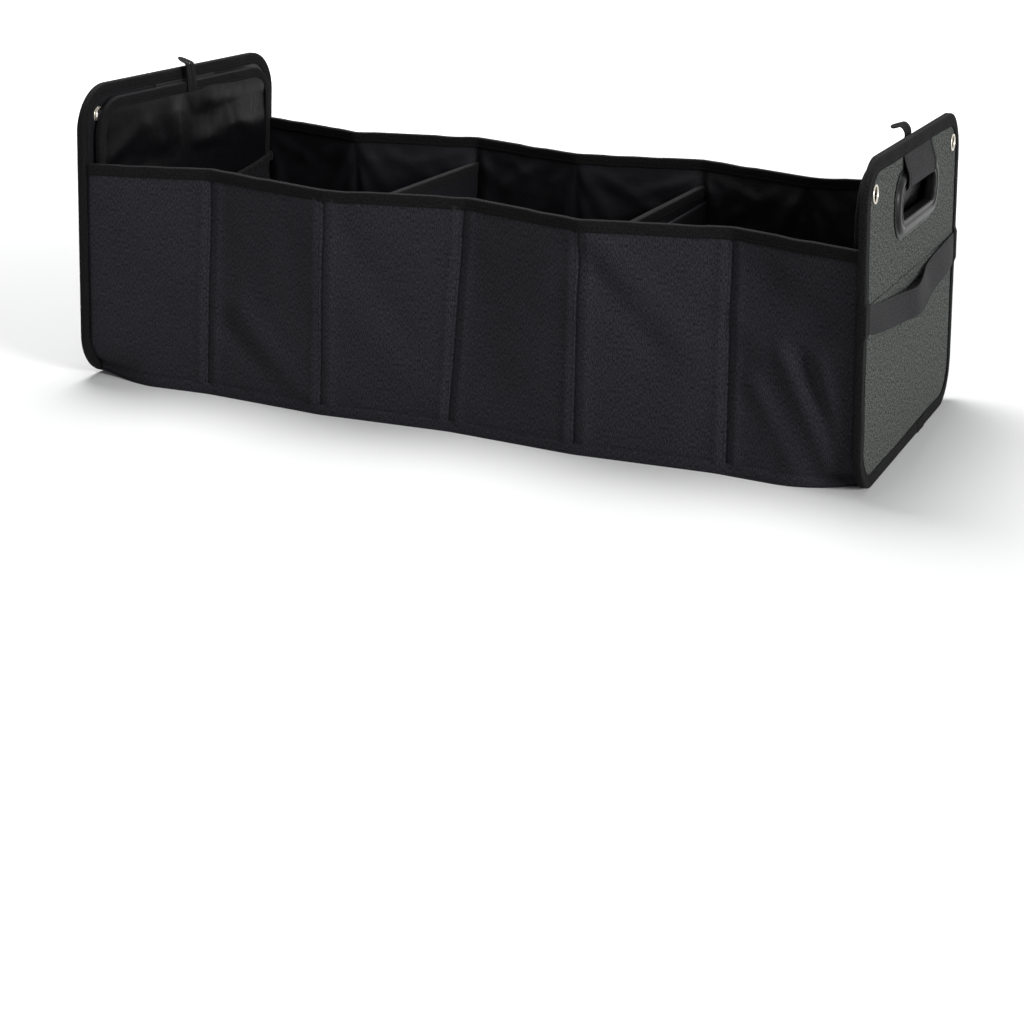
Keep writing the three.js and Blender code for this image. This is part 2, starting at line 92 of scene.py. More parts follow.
def add_node(tree, kind, inputs=(), **settings):
    """A new node with these settings. An input is a value, or a socket that it is linked to."""
    made = tree.nodes.new(kind)
    for key, value in settings.items():
        setattr(made, key, value)
    for key, value in dict(inputs).items():
        if isinstance(value, bpy.types.NodeSocket):
            tree.links.new(value, made.inputs[key])
        else:
            made.inputs[key].default_value = value
    return made


def seen_directly(tree):
    """1 for rays from the camera, in a mirror or through glass, and 0 for light on other things."""
    path = add_node(tree, "ShaderNodeLightPath").outputs
    seen = path["Is Camera Ray"]
    for kind in ("Is Glossy Ray", "Is Transmission Ray"):
        either = add_node(tree, "ShaderNodeMath", {0: seen, 1: path[kind]}, operation="MAXIMUM")
        seen = either.outputs[0]
    return seen


world = bpy.data.worlds.new("studio")
bpy.context.scene.world = world
world.use_nodes = True
sky = world.node_tree
sky.nodes.clear()
soft_light = add_node(sky, "ShaderNodeBackground",
                      {"Color": (0.94, 0.97, 1.0, 1), "Strength": 0.12})
white = add_node(sky, "ShaderNodeBackground", {"Color": (1, 1, 1, 1), "Strength": 1.0})
sky_choice = add_node(sky, "ShaderNodeMixShader",
                      {0: seen_directly(sky), 1: soft_light.outputs[0], 2: white.outputs[0]})
add_node(sky, "ShaderNodeOutputWorld", {"Surface": sky_choice.outputs[0]})

floor_reach = 30
ground = bpy.data.meshes.new("ground")
ground.from_pydata([(-floor_reach, -floor_reach, 0), (floor_reach, -floor_reach, 0),
                    (floor_reach, floor_reach, 0), (-floor_reach, floor_reach, 0)],
                   [], [(0, 1, 2, 3)])
ground_thing = bpy.data.objects.new("ground", ground)
bpy.context.collection.objects.link(ground_thing)
pale = bpy.data.materials.new("pale_floor")
pale.use_nodes = True
pale_tree = pale.node_tree
pale_tree.nodes.clear()
seen = seen_directly(pale_tree)
# It throws back less light than it shows, as if dark cloths stood beside the camera
paint_tone = add_node(pale_tree, "ShaderNodeMapRange",
                      {"Value": seen, "To Min": 0.42, "To Max": 0.78})
paint = add_node(pale_tree, "ShaderNodeBsdfDiffuse", {"Color": paint_tone.outputs[0]})
# Far from the object, where the lamps' light falls off, it glows up to the background's white
floor_place = add_node(pale_tree, "ShaderNodeTexCoord")
from_middle = add_node(pale_tree, "ShaderNodeVectorMath", {0: floor_place.outputs["Object"]},
                       operation="LENGTH")
floor_glow = add_node(pale_tree, "ShaderNodeMapRange",
                      {"Value": from_middle.outputs["Value"], "From Min": 0.5, "From Max": 2.6,
                       "To Min": 0.03, "To Max": 1.0}, interpolation_type="SMOOTHSTEP")
glow_seen = add_node(pale_tree, "ShaderNodeMath", {0: seen, 1: floor_glow.outputs[0]},
                     operation="MULTIPLY")
glow = add_node(pale_tree, "ShaderNodeEmission", {"Strength": glow_seen.outputs[0]})
painted = add_node(pale_tree, "ShaderNodeAddShader", {0: paint.outputs[0], 1: glow.outputs[0]})
add_node(pale_tree, "ShaderNodeOutputMaterial", {"Surface": painted.outputs[0]})
ground.materials.append(pale)


# WALL CANVAS
# The front and back walls are each one length of black coated polyester canvas, sewn into the end
# panels' tape. Vertical seams make six channels for the boards, and every other seam folds in.
panel_centre = 0.374
panel_height = 0.275
panel_corner = 0.043
wall_end = 0.3705
wall_height = 0.205
section = wall_end / 3
wall_half = 0.169
crease_top, crease_foot = 0.037, 0.009
seam_roundness = 0.0025
corner_blend, corner_tuck, corner_arc = 0.070, 0.018, panel_corner - 0.006
fold_end_fade, fold_foot_fade = 0.03, 0.02
lean = {"right": 0.016, "left": 0.007}
canvas_thickness = 0.0008
edge_tape_room = 0.0013
creases = range(-2, 3)
# How far single creases stand off their even place: (crease, at the foot, at the top)
crease_offsets = {-1: [(-2, 0.0, -0.012), (2, 0.012, 0.004)], 1: [(2, 0.0, -0.005)]}
# Soft folds of each wall's cloth: (from x, from z, to x, to z, width, height)
wall_folds = {
    -1: [
        (-0.330, 0.150, -0.275, 0.100, 0.028, 0.0018),
        (-0.360, 0.110, -0.300, 0.085, 0.018, -0.0012),
        (-0.236, 0.165, -0.222, 0.070, 0.014, -0.0018),
        (-0.205, 0.080, -0.130, 0.004, 0.013, 0.0042),
        (-0.224, 0.066, -0.152, 0.000, 0.012, -0.0030),
        (-0.160, 0.160, -0.140, 0.090, 0.014, -0.0014),
        (-0.113, 0.178, -0.060, 0.100, 0.018, -0.0034),
        (-0.070, 0.085, -0.020, 0.030, 0.018, 0.0018),
        (0.020, 0.150, 0.040, 0.060, 0.016, -0.0020),
        (0.088, 0.155, 0.078, 0.090, 0.020, 0.0022),
        (0.140, 0.186, 0.200, 0.122, 0.014, 0.0040),
        (0.128, 0.172, 0.182, 0.105, 0.013, -0.0036),
        (0.230, 0.110, 0.205, 0.030, 0.018, 0.0016),
        (0.280, 0.168, 0.325, 0.145, 0.020, -0.0052),
        (0.254, 0.135, 0.280, 0.108, 0.012, 0.0024),
        (0.275, 0.080, 0.312, 0.020, 0.010, 0.0034),
        (0.301, 0.108, 0.351, 0.016, 0.009, 0.0046),
        (0.320, 0.106, 0.360, 0.030, 0.007, -0.0034),
        (0.340, 0.104, 0.366, 0.024, 0.008, 0.0034),
    ],
    1: [
        (0.290, 0.120, 0.345, 0.020, 0.014, 0.0030),
        (-0.345, 0.100, -0.300, 0.020, 0.013, 0.0028),
        (-0.060, 0.150, -0.100, 0.080, 0.020, -0.0020),
        (0.100, 0.080, 0.040, 0.150, 0.020, 0.0018),
    ],
}


def settle(x, y, z):
    """Points in the frame: each end panel leans in at the top, and all between them follows."""
    share = np.clip(x / wall_end, -1, 1)
    reach = np.where(x > 0, lean["right"], lean["left"])
    return np.stack([x - share * reach * z / panel_height + middle, y + 0 * x, z + 0 * x], -1)


def fold_height(x, z, folds):
    """Height of long soft folds, each round a line from one point to another."""
    total = 0 * x * z
    for ax, az, bx, bz, width, height in folds:
        reach = math.hypot(bx - ax, bz - az)
        dx, dz = (bx - ax) / reach, (bz - az) / reach
        along = ((x - ax) * dx + (z - az) * dz) / reach
        across = (x - ax) * dz - (z - az) * dx
        past = np.maximum(np.abs(along - 0.5) - 0.5, 0) * reach
        fade = np.exp(-((past / (1.6 * width)) ** 2)) * (0.75 + 0.25 * np.sin(5 * along + 1))
        total = total + height * fade * np.exp(-((across / width) ** 2))
    return total


def seam_shift(even, z, side):
    """How far along the wall a place moves because single creases stand off their even place."""
    shift = 0 * even * z
    for crease, at_foot, at_top in crease_offsets[side]:
        off = at_foot + (at_top - at_foot) * z / wall_height
        shift = shift + off * np.clip(1 - np.abs(even - crease * section) / section, 0, 1)
    return shift


foot_lift_height, foot_lift_reach, foot_lift_fade = 0.0050, 0.045, 0.035


def foot_lift(even):
    """How far a wall's foot is drawn up next to an end panel, whose corner is round."""
    near_end = (np.abs(even) - wall_end + foot_lift_reach) / foot_lift_reach
    return foot_lift_height * np.clip(near_end, 0, 1) ** 2


def wall_point(even, z, side, inwards=0.0):
    """A point of a wall's stack: along it as if its seams were even, up, and in from its face."""
    fold = np.arccos((1 - seam_roundness) * np.cos(np.pi * (np.abs(even) / section + 3))) / np.pi
    crease = crease_foot + (crease_top - crease_foot) * z / wall_height
    from_end = np.maximum(wall_end - np.abs(even), 0)
    blend = np.cos(np.minimum(from_end / corner_blend, 1) * np.pi / 2) ** 2
    below = np.clip(panel_corner - z, 0, corner_arc)
    tuck = np.minimum(corner_arc - np.sqrt(corner_arc ** 2 - below ** 2), corner_tuck)
    edge = np.minimum(from_end / fold_end_fade, 1) * np.clip(z / fold_foot_fade, 0, 1)
    face = wall_half - fold * crease - blend * tuck + fold_height(even, z, wall_folds[side]) * edge
    raised = z + foot_lift(even) * np.clip(1 - z / foot_lift_fade, 0, 1)
    return settle(even + seam_shift(even, z, side), side * (face - inwards), raised)


def uneven(x, z, size, seed):
    """Gentle random waviness from -1 to 1, the same each run, with bumps of about that size."""
    shape = np.broadcast(x, z).shape
    flat = np.stack([np.broadcast_to(p, shape).ravel() for p in (x, z)], -1) / size
    values = [noise.noise(Vector((a + seed * 7.3, b - seed * 3.1, seed * 1.7))) for a, b in flat]
    return np.array(values).reshape(shape)


def mesh_piece(name, points, faces, material, uvs=None):
    """A mesh object at the origin, smooth, with an optional UV map in metres."""
    mesh = bpy.data.meshes.new(name)
    mesh.from_pydata(points, [], faces)
    if uvs is not None:
        layer = mesh.uv_layers.new(name="cloth")
        layer.data.foreach_set("uv", np.asarray(uvs, np.float32).ravel())
    mesh.materials.append(material)
    mesh.polygons.foreach_set("use_smooth", [True] * len(mesh.polygons))
    mesh.update()
    piece = bpy.data.objects.new(name, mesh)
    bpy.context.collection.objects.link(piece)
    return piece


def give_thickness(piece, thickness):
    solid = piece.modifiers.new("thickness", "SOLIDIFY")
    solid.thickness = thickness
    solid.offset = -1
    return piece


def cloth_sheet(name, us, vs, place, thickness, material, ring=False, drop=None):
    """A sheet of cloth on a grid. us and vs are distances in metres and the UV map. place turns
    them into points whose outer side is that of u cross v. drop leaves out faces by their middle."""
    us, vs = np.asarray(us, float), np.asarray(vs, float)
    u, v = np.meshgrid(us, vs, indexing="ij")
    points = place(u, v)
    across, up = len(us), len(vs)
    a, b = np.meshgrid(np.arange(across - 1), np.arange(up - 1), indexing="ij")
    a, b = a.ravel(), b.ravel()
    if drop is not None:
        keep = ~drop((us[a] + us[a + 1]) / 2, (vs[b] + vs[b + 1]) / 2)
        a, b = a[keep], b[keep]
    last = across - 1 if ring else across

    def corner(i, j):
        return (i % last) * up + j

    faces = np.stack([corner(a, b), corner(a + 1, b), corner(a + 1, b + 1), corner(a, b + 1)], -1)
    uvs = np.stack([us[[a, a + 1, a + 1, a]].T, vs[[b, b, b + 1, b + 1]].T], -1)
    flat_points = points[:last].reshape(-1, 3)
    used, new = np.unique(faces, return_inverse=True)
    piece = mesh_piece(name, flat_points[used], new.reshape(faces.shape).tolist(), material, uvs)
    if thickness:
        give_thickness(piece, thickness)
    return piece


class Finish:
    """A material whose nodes are added one after another."""

    def __init__(self, name, colour, roughness, specular, metallic=0.0, sheen=0.0, sheen_spread=0.5):
        self.material = bpy.data.materials.new(name)
        self.material.use_nodes = True
        self.tree = self.material.node_tree
        self.shader = self.tree.nodes["Principled BSDF"]
        for label, value in (("Base Color", (*colour, 1)), ("Roughness", roughness),
                             ("Specular IOR Level", specular), ("Metallic", metallic),
                             ("Sheen Weight", sheen), ("Sheen Roughness", sheen_spread)):
            self.shader.inputs[label].default_value = value
        self.height = None

    def node(self, kind, inputs=(), **settings):
        return add_node(self.tree, kind, inputs, **settings)

    def math(self, operation, a, b=0.0):
        return self.node("ShaderNodeMath", {0: a, 1: b}, operation=operation).outputs[0]

    def place(self, scale=(1, 1, 1), cloth=True):
        """The piece's own UV map, or its Object coordinates, in metres times a scale."""
        if cloth:
            source = self.node("ShaderNodeUVMap", uv_map="cloth").outputs[0]
        else:
            source = self.node("ShaderNodeTexCoord").outputs["Object"]
        return self.node("ShaderNodeMapping", {"Vector": source, "Scale": scale}).outputs[0]

    def grain(self, scale, stretch=(1, 1, 1), detail=2.0, rough=0.5, cloth=True):
        where = self.place(stretch, cloth)
        made = self.node("ShaderNodeTexNoise", {"Vector": where, "Scale": scale, "Detail": detail,
                                                "Roughness": rough})
        return made.outputs["Fac"]

    def between(self, value, low, high):
        made = self.node("ShaderNodeMapRange", {"Value": value, "To Min": low, "To Max": high})
        return made.outputs[0]

    def tint(self, value, dark, light, low=0.3, high=0.7):
        """Colour between two, by a value that goes from low to high."""
        ramp = self.node("ShaderNodeValToRGB", {0: value})
        ramp.color_ramp.elements[0].position, ramp.color_ramp.elements[0].color = low, (*dark, 1)
        ramp.color_ramp.elements[1].position, ramp.color_ramp.elements[1].color = high, (*light, 1)
        self.tree.links.new(ramp.outputs[0], self.shader.inputs["Base Color"])

    def weave(self, pitch_u, pitch_v):
        """Threads over and under each other: from 0 to 1."""
        where = self.node("ShaderNodeSeparateXYZ", {0: self.place()})
        over = self.math("SINE", self.math("MULTIPLY", where.outputs[0], 2 * math.pi / pitch_u))
        under = self.math("SINE", self.math("MULTIPLY", where.outputs[1], 2 * math.pi / pitch_v))
        return self.between(self.math("MULTIPLY", over, under), 0.0, 1.0)

    def bump(self, height, distance, strength=1.0):
        made = self.node("ShaderNodeBump", {"Height": height, "Distance": distance,
                                            "Strength": strength})
        if self.height is not None:
            self.tree.links.new(self.height, made.inputs["Normal"])
        self.height = made.outputs[0]
        self.tree.links.new(self.height, self.shader.inputs["Normal"])

    def rough(self, value, low, high):
        self.tree.links.new(self.between(value, low, high), self.shader.inputs["Roughness"])


canvas = Finish("black_canvas_weave", (0.015, 0.0145, 0.0165), 0.75, 0.10, sheen=0.02)
threads = canvas.grain(1250, (1.0, 0.30, 1), 2.0, 0.6)
canvas.tint(threads, (0.0074, 0.0070, 0.0092), (0.0345, 0.0328, 0.0395), 0.40, 0.60)
canvas.bump(canvas.weave(0.0011, 0.0011), 0.00022, 0.9)
canvas.bump(canvas.grain(160, (1, 1, 1), 3.0), 0.0006, 0.06)
canvas.rough(canvas.grain(45), 0.62, 0.85)


slack_height, ripple_height = 0.0007, 0.00025
puff_height, puff_place, puff_width = 0.0011, 0.0085, 0.004
seam_depth, seam_width, seam_fade = 0.0014, 0.0012, 0.0032
relief_top_fade, relief_foot_fade = 0.014, 0.012


def canvas_relief(even, z, side):
    """Small relief of the outer cloth: sewn in at the seams, full beside them, never in the board."""
    slack = slack_height + slack_height * uneven(even, z, 0.055, 3 + side)
    relief = np.maximum(slack + ripple_height * uneven(even, z, 0.016, 9), 0)
    for crease in creases:
        from_seam = np.abs(even - crease * section)
        relief = relief + puff_height * np.exp(-(((from_seam - puff_place) / puff_width) ** 2))
        relief = relief * (1 - np.exp(-((from_seam / seam_fade) ** 2)))
        relief = relief - seam_depth * np.exp(-((from_seam / seam_width) ** 2))
    below_tape = np.clip((wall_height - z) / relief_top_fade, 0, 1)
    return relief * below_tape * np.clip(z / relief_foot_fade, 0, 1)


def seam_spacing(step, fine):
    """Even steps along a wall, and fine ones next to the seams."""
    places = list(np.arange(-wall_end, wall_end, step)) + [wall_end]
    beside_seam = 0.012
    for crease in creases:
        places = [p for p in places if abs(p - crease * section) > beside_seam]
        places += list(crease * section + np.arange(-beside_seam, beside_seam + 0.0001, fine))
    return np.array(sorted(places))


wall_us = seam_spacing(0.0034, 0.001)
wall_foot = 0.0015
wall_vs = np.linspace(wall_foot, wall_height - edge_tape_room, 58)
walls = ((-1, "front"), (1, "back"))
for side, name in walls:
    def on_wall(u, v):
        return wall_point(-side * u, v, side, -canvas_relief(-side * u, v, side))

    cloth = cloth_sheet(f"{name}_wall_canvas", wall_us, wall_vs, on_wall, canvas_thickness,
                        canvas.material)
    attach(cloth, "root")
    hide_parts(f"{name}_wall_fabric")


# WALL BOARDS
# Six stiff grey boards in each wall, pushed into the channels between the seams before the top
# is bound. They end short of every seam, so the cloth between them can fold, and their lower
# corners are cut off where the wall curves in under an end panel.
board_card = Finish("grey_board", (0.2, 0.19, 0.175), 0.85, 0.3)
fibres = board_card.grain(600, (1, 1, 1), 4.0, 0.6, cloth=False)
board_card.tint(fibres, (0.16, 0.15, 0.14), (0.24, 0.23, 0.21))
board_card.bump(fibres, 0.0002, 0.5)
card_in = card_thickness = 0.0018
card_foot, card_top, card_from_seam = 0.009, 0.197, 0.0029
cut_corner_wide, cut_corner_tall = 0.064, 0.036
card_vs = [v for v in wall_vs if card_foot < v < card_top]
for side, name in walls:
    def on_boards(u, v):
        return wall_point(-side * u, v, side, card_in)

    def at_seam(u, v):
        from_seam = np.abs(u / section - np.round(u / section)) * section
        cut_corner = (wall_end - np.abs(u) < cut_corner_wide) & (v < cut_corner_tall)
        return (from_seam < card_from_seam) | cut_corner

    boards = cloth_sheet(f"{name}_wall_boards", wall_us, card_vs, on_boards, card_thickness,
                         board_card.material, drop=at_seam)
    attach(boards, "root")
    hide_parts(*[f"{name}_stiffener_{number}" for number in range(1, 7)])


# WALL LINING
# Thin black nylon with a soft sheen, sewn to the canvas at the same seams and a little too large
# for it, so it lies in loose wrinkles between them.
def rumpled(width, height, growth, seed, step=0.0062, frames=26):
    """How far loose cloth that is sewn down all round comes off its board: a grid from 0 to 1.
    A cloth simulation lets a sheet settle that is too large by this growth."""
    across, up = max(int(width / step), 8), max(int(height / step), 8)
    xs, ys = np.linspace(0, width, across), np.linspace(0, height, up)
    sewn_down = np.sin(np.pi * xs / width)[:, None] * np.sin(np.pi * ys / height)[None, :]
    free = np.minimum(sewn_down * 3, 1)
    points = [(x, y, 0.0012 * noise.noise(Vector((x * 45, y * 28, seed * 5.1))))
              for x in xs for y in ys]
    faces = [(i * up + j, (i + 1) * up + j, (i + 1) * up + j + 1, i * up + j + 1)
             for i in range(across - 1) for j in range(up - 1)]
    mesh = bpy.data.meshes.new("loose")
    mesh.from_pydata(points, [], faces)
    loose = bpy.data.objects.new("loose", mesh)
    bpy.context.collection.objects.link(loose)
    sewn = loose.vertex_groups.new(name="sewn")
    sewn.add([i * up + j for i in range(across) for j in range(up)
              if i in (0, across - 1) or j in (0, up - 1)], 1.0, "REPLACE")
    fall = loose.modifiers.new("fall", "CLOTH")
    for setting, value in (("vertex_group_mass", "sewn"), ("shrink_min", -growth), ("quality", 6),
                           ("mass", 0.15), ("tension_stiffness", 12), ("compression_stiffness", 12),
                           ("shear_stiffness", 4), ("bending_stiffness", 0.35), ("air_damping", 2)):
        setattr(fall.settings, setting, value)
    fall.settings.effector_weights.gravity = 0
    fall.point_cache.frame_start, fall.point_cache.frame_end = 1, frames
    for number in range(1, frames + 1):
        bpy.context.scene.frame_set(number)
    settled = loose.evaluated_get(bpy.context.evaluated_depsgraph_get()).to_mesh()
    off = np.array([v.co.z for v in settled.vertices]).reshape(across, up)
    bpy.data.objects.remove(loose)
    bpy.data.meshes.remove(mesh)
    bpy.context.scene.frame_set(1)
    low, high = np.percentile(off, 2), np.percentile(off, 98)
    return np.clip((off - low) / max(high - low, 1e-6), 0, 1) * free


def on_field(field, across, up):
    """Smooth height of a field at shares of its width and height."""
    columns, rows = field.shape
    x, y = np.clip(across, 0, 1) * (columns - 1), np.clip(up, 0, 1) * (rows - 1)
    i, j = np.minimum(x.astype(int), columns - 2), np.minimum(y.astype(int), rows - 2)
    a, b = x - i, y - j
    a, b = a * a * (3 - 2 * a), b * b * (3 - 2 * b)
    low = field[i, j] * (1 - a) + field[i + 1, j] * a
    high = field[i, j + 1] * (1 - a) + field[i + 1, j + 1] * a
    return low * (1 - b) + high * b


def crumpled_nylon(finish, least_rough, most_rough):
    """The fine weave, small crumples and uneven shine of thin coated nylon."""
    finish.bump(finish.weave(0.0007, 0.0007), 0.0001, 0.45)
    finish.bump(finish.grain(55, (1, 1, 1), 4.0, 0.55), 0.0012, 0.5)
    finish.rough(finish.grain(30), least_rough, most_rough)


nylon = Finish("black_nylon", (0.0115, 0.0110, 0.0132), 0.36, 0.16, sheen=0.02, sheen_spread=0.35)
crumpled_nylon(nylon, 0.30, 0.42)
loose_fields = [rumpled(section, wall_height, 0.045, seed) for seed in (1, 2, 3)]
lining_in, lining_thickness, lining_loose = 0.0044, 0.0006, 0.0030
groove_depth, groove_width, beside_groove = 0.0007, 0.0028, 0.005
lining_top, lining_top_fade, lining_foot_fade = 0.1945, 0.018, 0.01
# Folds that start at the seams' ends, in each channel: as the walls' own, from its left seam
lining_folds = [
    (0.004, 0.190, 0.050, 0.110, 0.0080, 0.0030), (0.016, 0.190, 0.085, 0.150, 0.0070, 0.0024),
    (0.118, 0.188, 0.072, 0.172, 0.0060, 0.0026), (0.119, 0.176, 0.088, 0.110, 0.0080, 0.0024),
    (0.006, 0.150, 0.030, 0.070, 0.0070, 0.0022), (0.110, 0.130, 0.060, 0.060, 0.0090, 0.0026),
    (0.010, 0.030, 0.070, 0.090, 0.0090, 0.0022),
]
for side, name in walls:
    def on_lining(u, v):
        even = side * u
        number = np.clip(np.floor(even / section + 3), 0, 5).astype(int)
        share = even / section + 3 - number
        height = v / wall_height
        loose = 0 * u
        for k in range(6):
            field = loose_fields[(k + side) % 3]
            flipped = 1 - share if (k + (side > 0)) % 2 else share
            folds = fold_height(flipped * section, v * (1 - 0.04 * (k % 3)), lining_folds)
            off = lining_loose * on_field(field, flipped, height) + folds
            loose = np.where(number == k, off, loose)
        nearest = np.clip(np.round(even / section), creases[0], creases[-1])
        from_seam = np.abs(even - nearest * section)
        beside = 1 - np.exp(-((from_seam / beside_groove) ** 2))
        groove = groove_depth * np.exp(-((from_seam / groove_width) ** 2))
        rim = np.clip((lining_top - v) / lining_top_fade, 0, 1) * np.clip(v / lining_foot_fade, 0, 1)
        return wall_point(even, v, side, lining_in - groove + loose * beside * rim)

    lining_vs = np.linspace(wall_foot, wall_height - edge_tape_room, 52)
    cloth = cloth_sheet(f"{name}_wall_lining_cloth", wall_us, lining_vs, on_lining,
                        lining_thickness, nylon.material)
    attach(cloth, "root")
    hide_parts(f"{name}_wall_lining")


# WALL TOP TAPE
# Ribbed grosgrain tape folded over the top of canvas, boards and lining, and sewn through.
# Its ribs run across it. The same tape in other widths binds every other edge.
rib_pitch, rib_height, tape_thickness = 0.0016, 0.00017, 0.0009
tape_cloth = Finish("ribbed_tape", (0.0090, 0.0088, 0.0098), 0.78, 0.08, sheen=0.02)
tape_length = tape_cloth.node("ShaderNodeSeparateXYZ", {0: tape_cloth.place()}).outputs[0]
rib_turn = tape_cloth.math("MULTIPLY", tape_length, 2 * math.pi / rib_pitch)
# Painted shade: the tape is painted lighter along its ribs' raised crests and darker in the hollows
# between them, with random grain on top
rib_shade = tape_cloth.math("MULTIPLY", tape_cloth.math("COSINE", rib_turn), 0.10)
rib_shade = tape_cloth.math("ADD", rib_shade, tape_cloth.grain(900, (1, 0.5, 1)))
tape_cloth.tint(rib_shade, (0.0020, 0.0019, 0.0022), (0.0112, 0.0108, 0.0118), 0.40, 0.60)
tape_cloth.bump(tape_cloth.weave(0.0008, 0.0006), 0.00012, 0.7)


def new_tree(name, *inputs):
    """A node tree with geometry in and out, and named inputs of these kinds."""
    tree = bpy.data.node_groups.new(name, "GeometryNodeTree")
    tree.interface.new_socket("Geometry", in_out="INPUT", socket_type="NodeSocketGeometry")
    for label, kind in inputs:
        tree.interface.new_socket(label, in_out="INPUT", socket_type=f"NodeSocket{kind}")
    tree.interface.new_socket("Geometry", in_out="OUTPUT", socket_type="NodeSocketGeometry")
    start, end = tree.nodes.new("NodeGroupInput"), tree.nodes.new("NodeGroupOutput")

    def add(kind, inputs=(), **settings):
        return add_node(tree, kind, inputs, **settings)

    def close(geometry, material):
        """The tree's end: real faces, smooth, with their material."""
        real = add("GeometryNodeRealizeInstances", {0: geometry})
        smooth = add("GeometryNodeSetShadeSmooth", {0: real.outputs[0]})
        done = add("GeometryNodeSetMaterial", {0: smooth.outputs[0], "Material": material})
        tree.links.new(done.outputs[0], end.inputs[0])

    return tree, start.outputs, add, close


def run_tree(piece, tree, **sizes):
    """The tree's result becomes the piece's own plain mesh."""
    nodes = piece.modifiers.new("nodes", "NODES")
    nodes.node_group = tree
    for socket in tree.interface.items_tree:
        if socket.in_out == "INPUT" and socket.name in sizes:
            nodes[socket.identifier] = sizes[socket.name]
    graph = bpy.context.evaluated_depsgraph_get()
    made = bpy.data.meshes.new_from_object(piece.evaluated_get(graph), preserve_all_data_layers=True,
                                           depsgraph=graph)
    piece.modifiers.remove(nodes)
    piece.data = made
    return piece


rib_tree, rib_in, rib_add, rib_close = new_tree("ribs", ("Pitch", "Float"), ("Height", "Float"),
                                                ("Material", "Material"))
rib_along = rib_add("GeometryNodeInputNamedAttribute", {"Name": "along"}, data_type="FLOAT")
rib_turns = rib_add("ShaderNodeMath", {0: rib_along.outputs[0], 1: rib_in["Pitch"]},
                    operation="DIVIDE")
rib_angle = rib_add("ShaderNodeMath", {0: rib_turns.outputs[0], 1: 2 * math.pi},
                    operation="MULTIPLY")
rib_wave = rib_add("ShaderNodeMath", {0: rib_angle.outputs[0]}, operation="COSINE")
rib_rise = rib_add("ShaderNodeMath", {0: rib_wave.outputs[0], 1: rib_in["Height"]},
                   operation="MULTIPLY")
rib_normal = rib_add("GeometryNodeInputNormal")
rib_move = rib_add("ShaderNodeVectorMath", {0: rib_normal.outputs[0], "Scale": rib_rise.outputs[0]},
                   operation="SCALE")
rib_set = rib_add("GeometryNodeSetPosition", {"Geometry": rib_in["Geometry"],
                                              "Offset": rib_move.outputs[0]})
rib_close(rib_set.outputs[0], rib_in["Material"])


def distances(points):
    """How far along a line of points each of them lies."""
    steps = np.diff(np.array(points, float), axis=0)
    return np.concatenate([[0], np.cumsum(np.linalg.norm(steps, axis=1))])


def ribbed_tape(name, length, profile, place, ring=False, thickness=tape_thickness, pitch=rib_pitch):
    """Tape along a path. profile holds (distance in, height) across it, and place(u, distance in,
    height) gives its points. The ribs are raised by the tree, then the tape gets its thickness."""
    inwards, heights = np.array(profile, float).T
    widths = distances(profile)
    ribs = int(round(length / pitch))
    us = np.linspace(0, length, 2 * ribs + 1)

    def on_tape(u, v):
        return place(u, np.interp(v, widths, inwards), np.interp(v, widths, heights))

    piece = cloth_sheet(name, us, widths, on_tape, 0, tape_cloth.material, ring=ring)
    along = piece.data.attributes.new("along", "FLOAT", "POINT")
    steps = us[:-1] if ring else us
    along.data.foreach_set("value", np.repeat(steps, len(widths)).astype(np.float32))
    run_tree(piece, rib_tree, Pitch=length / ribs, Height=rib_height, Material=tape_cloth.material)
    return give_thickness(piece, thickness)


def over_edge(foot, top, out, far):
    """Profile of a tape folded over an upright edge: up the near face, over, down the far one. Each
    face is drawn in along its stitches, a quarter of the way up."""
    turn = 0.0008
    into = math.copysign(turn, far - out)
    face = [(0, 0), (0, 0.17), (0.5, 0.25), (0, 0.33), (0, 0.5), (0, 0.75)]
    near = [(out + into * a, foot + (top - foot) * b) for a, b in face]
    away = [(far - into * a, foot + (top - foot) * b) for a, b in face]
    fold = [(out, top - turn), (out + 0.3 * into, top - 0.3 * turn), (out + into, top),
            ((out + far) / 2, top + 0.0002), (far - into, top), (far - 0.3 * into, top - 0.3 * turn),
            (far, top - turn)]
    return near + fold + away[::-1]


top_tape_width, wall_stack = 0.010, 0.0053
for side, name in walls:
    def on_top_tape(u, inwards, z):
        even = -side * (u - wall_end)
        wave = 0.0004 * np.sin(even * 61 + 1.3 * side) + 0.0003 * np.sin(even * 137)
        return wall_point(even, z, side, inwards) + np.stack([0 * u, 0 * u, np.minimum(wave, 0)], -1)

    bound = ribbed_tape(f"{name}_wall_top_tape", 2 * wall_end,
                        over_edge(wall_height - top_tape_width, wall_height, -edge_tape_room,
                                  wall_stack), on_top_tape)
    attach(bound, "root")
    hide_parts(f"{name}_wall_binding")


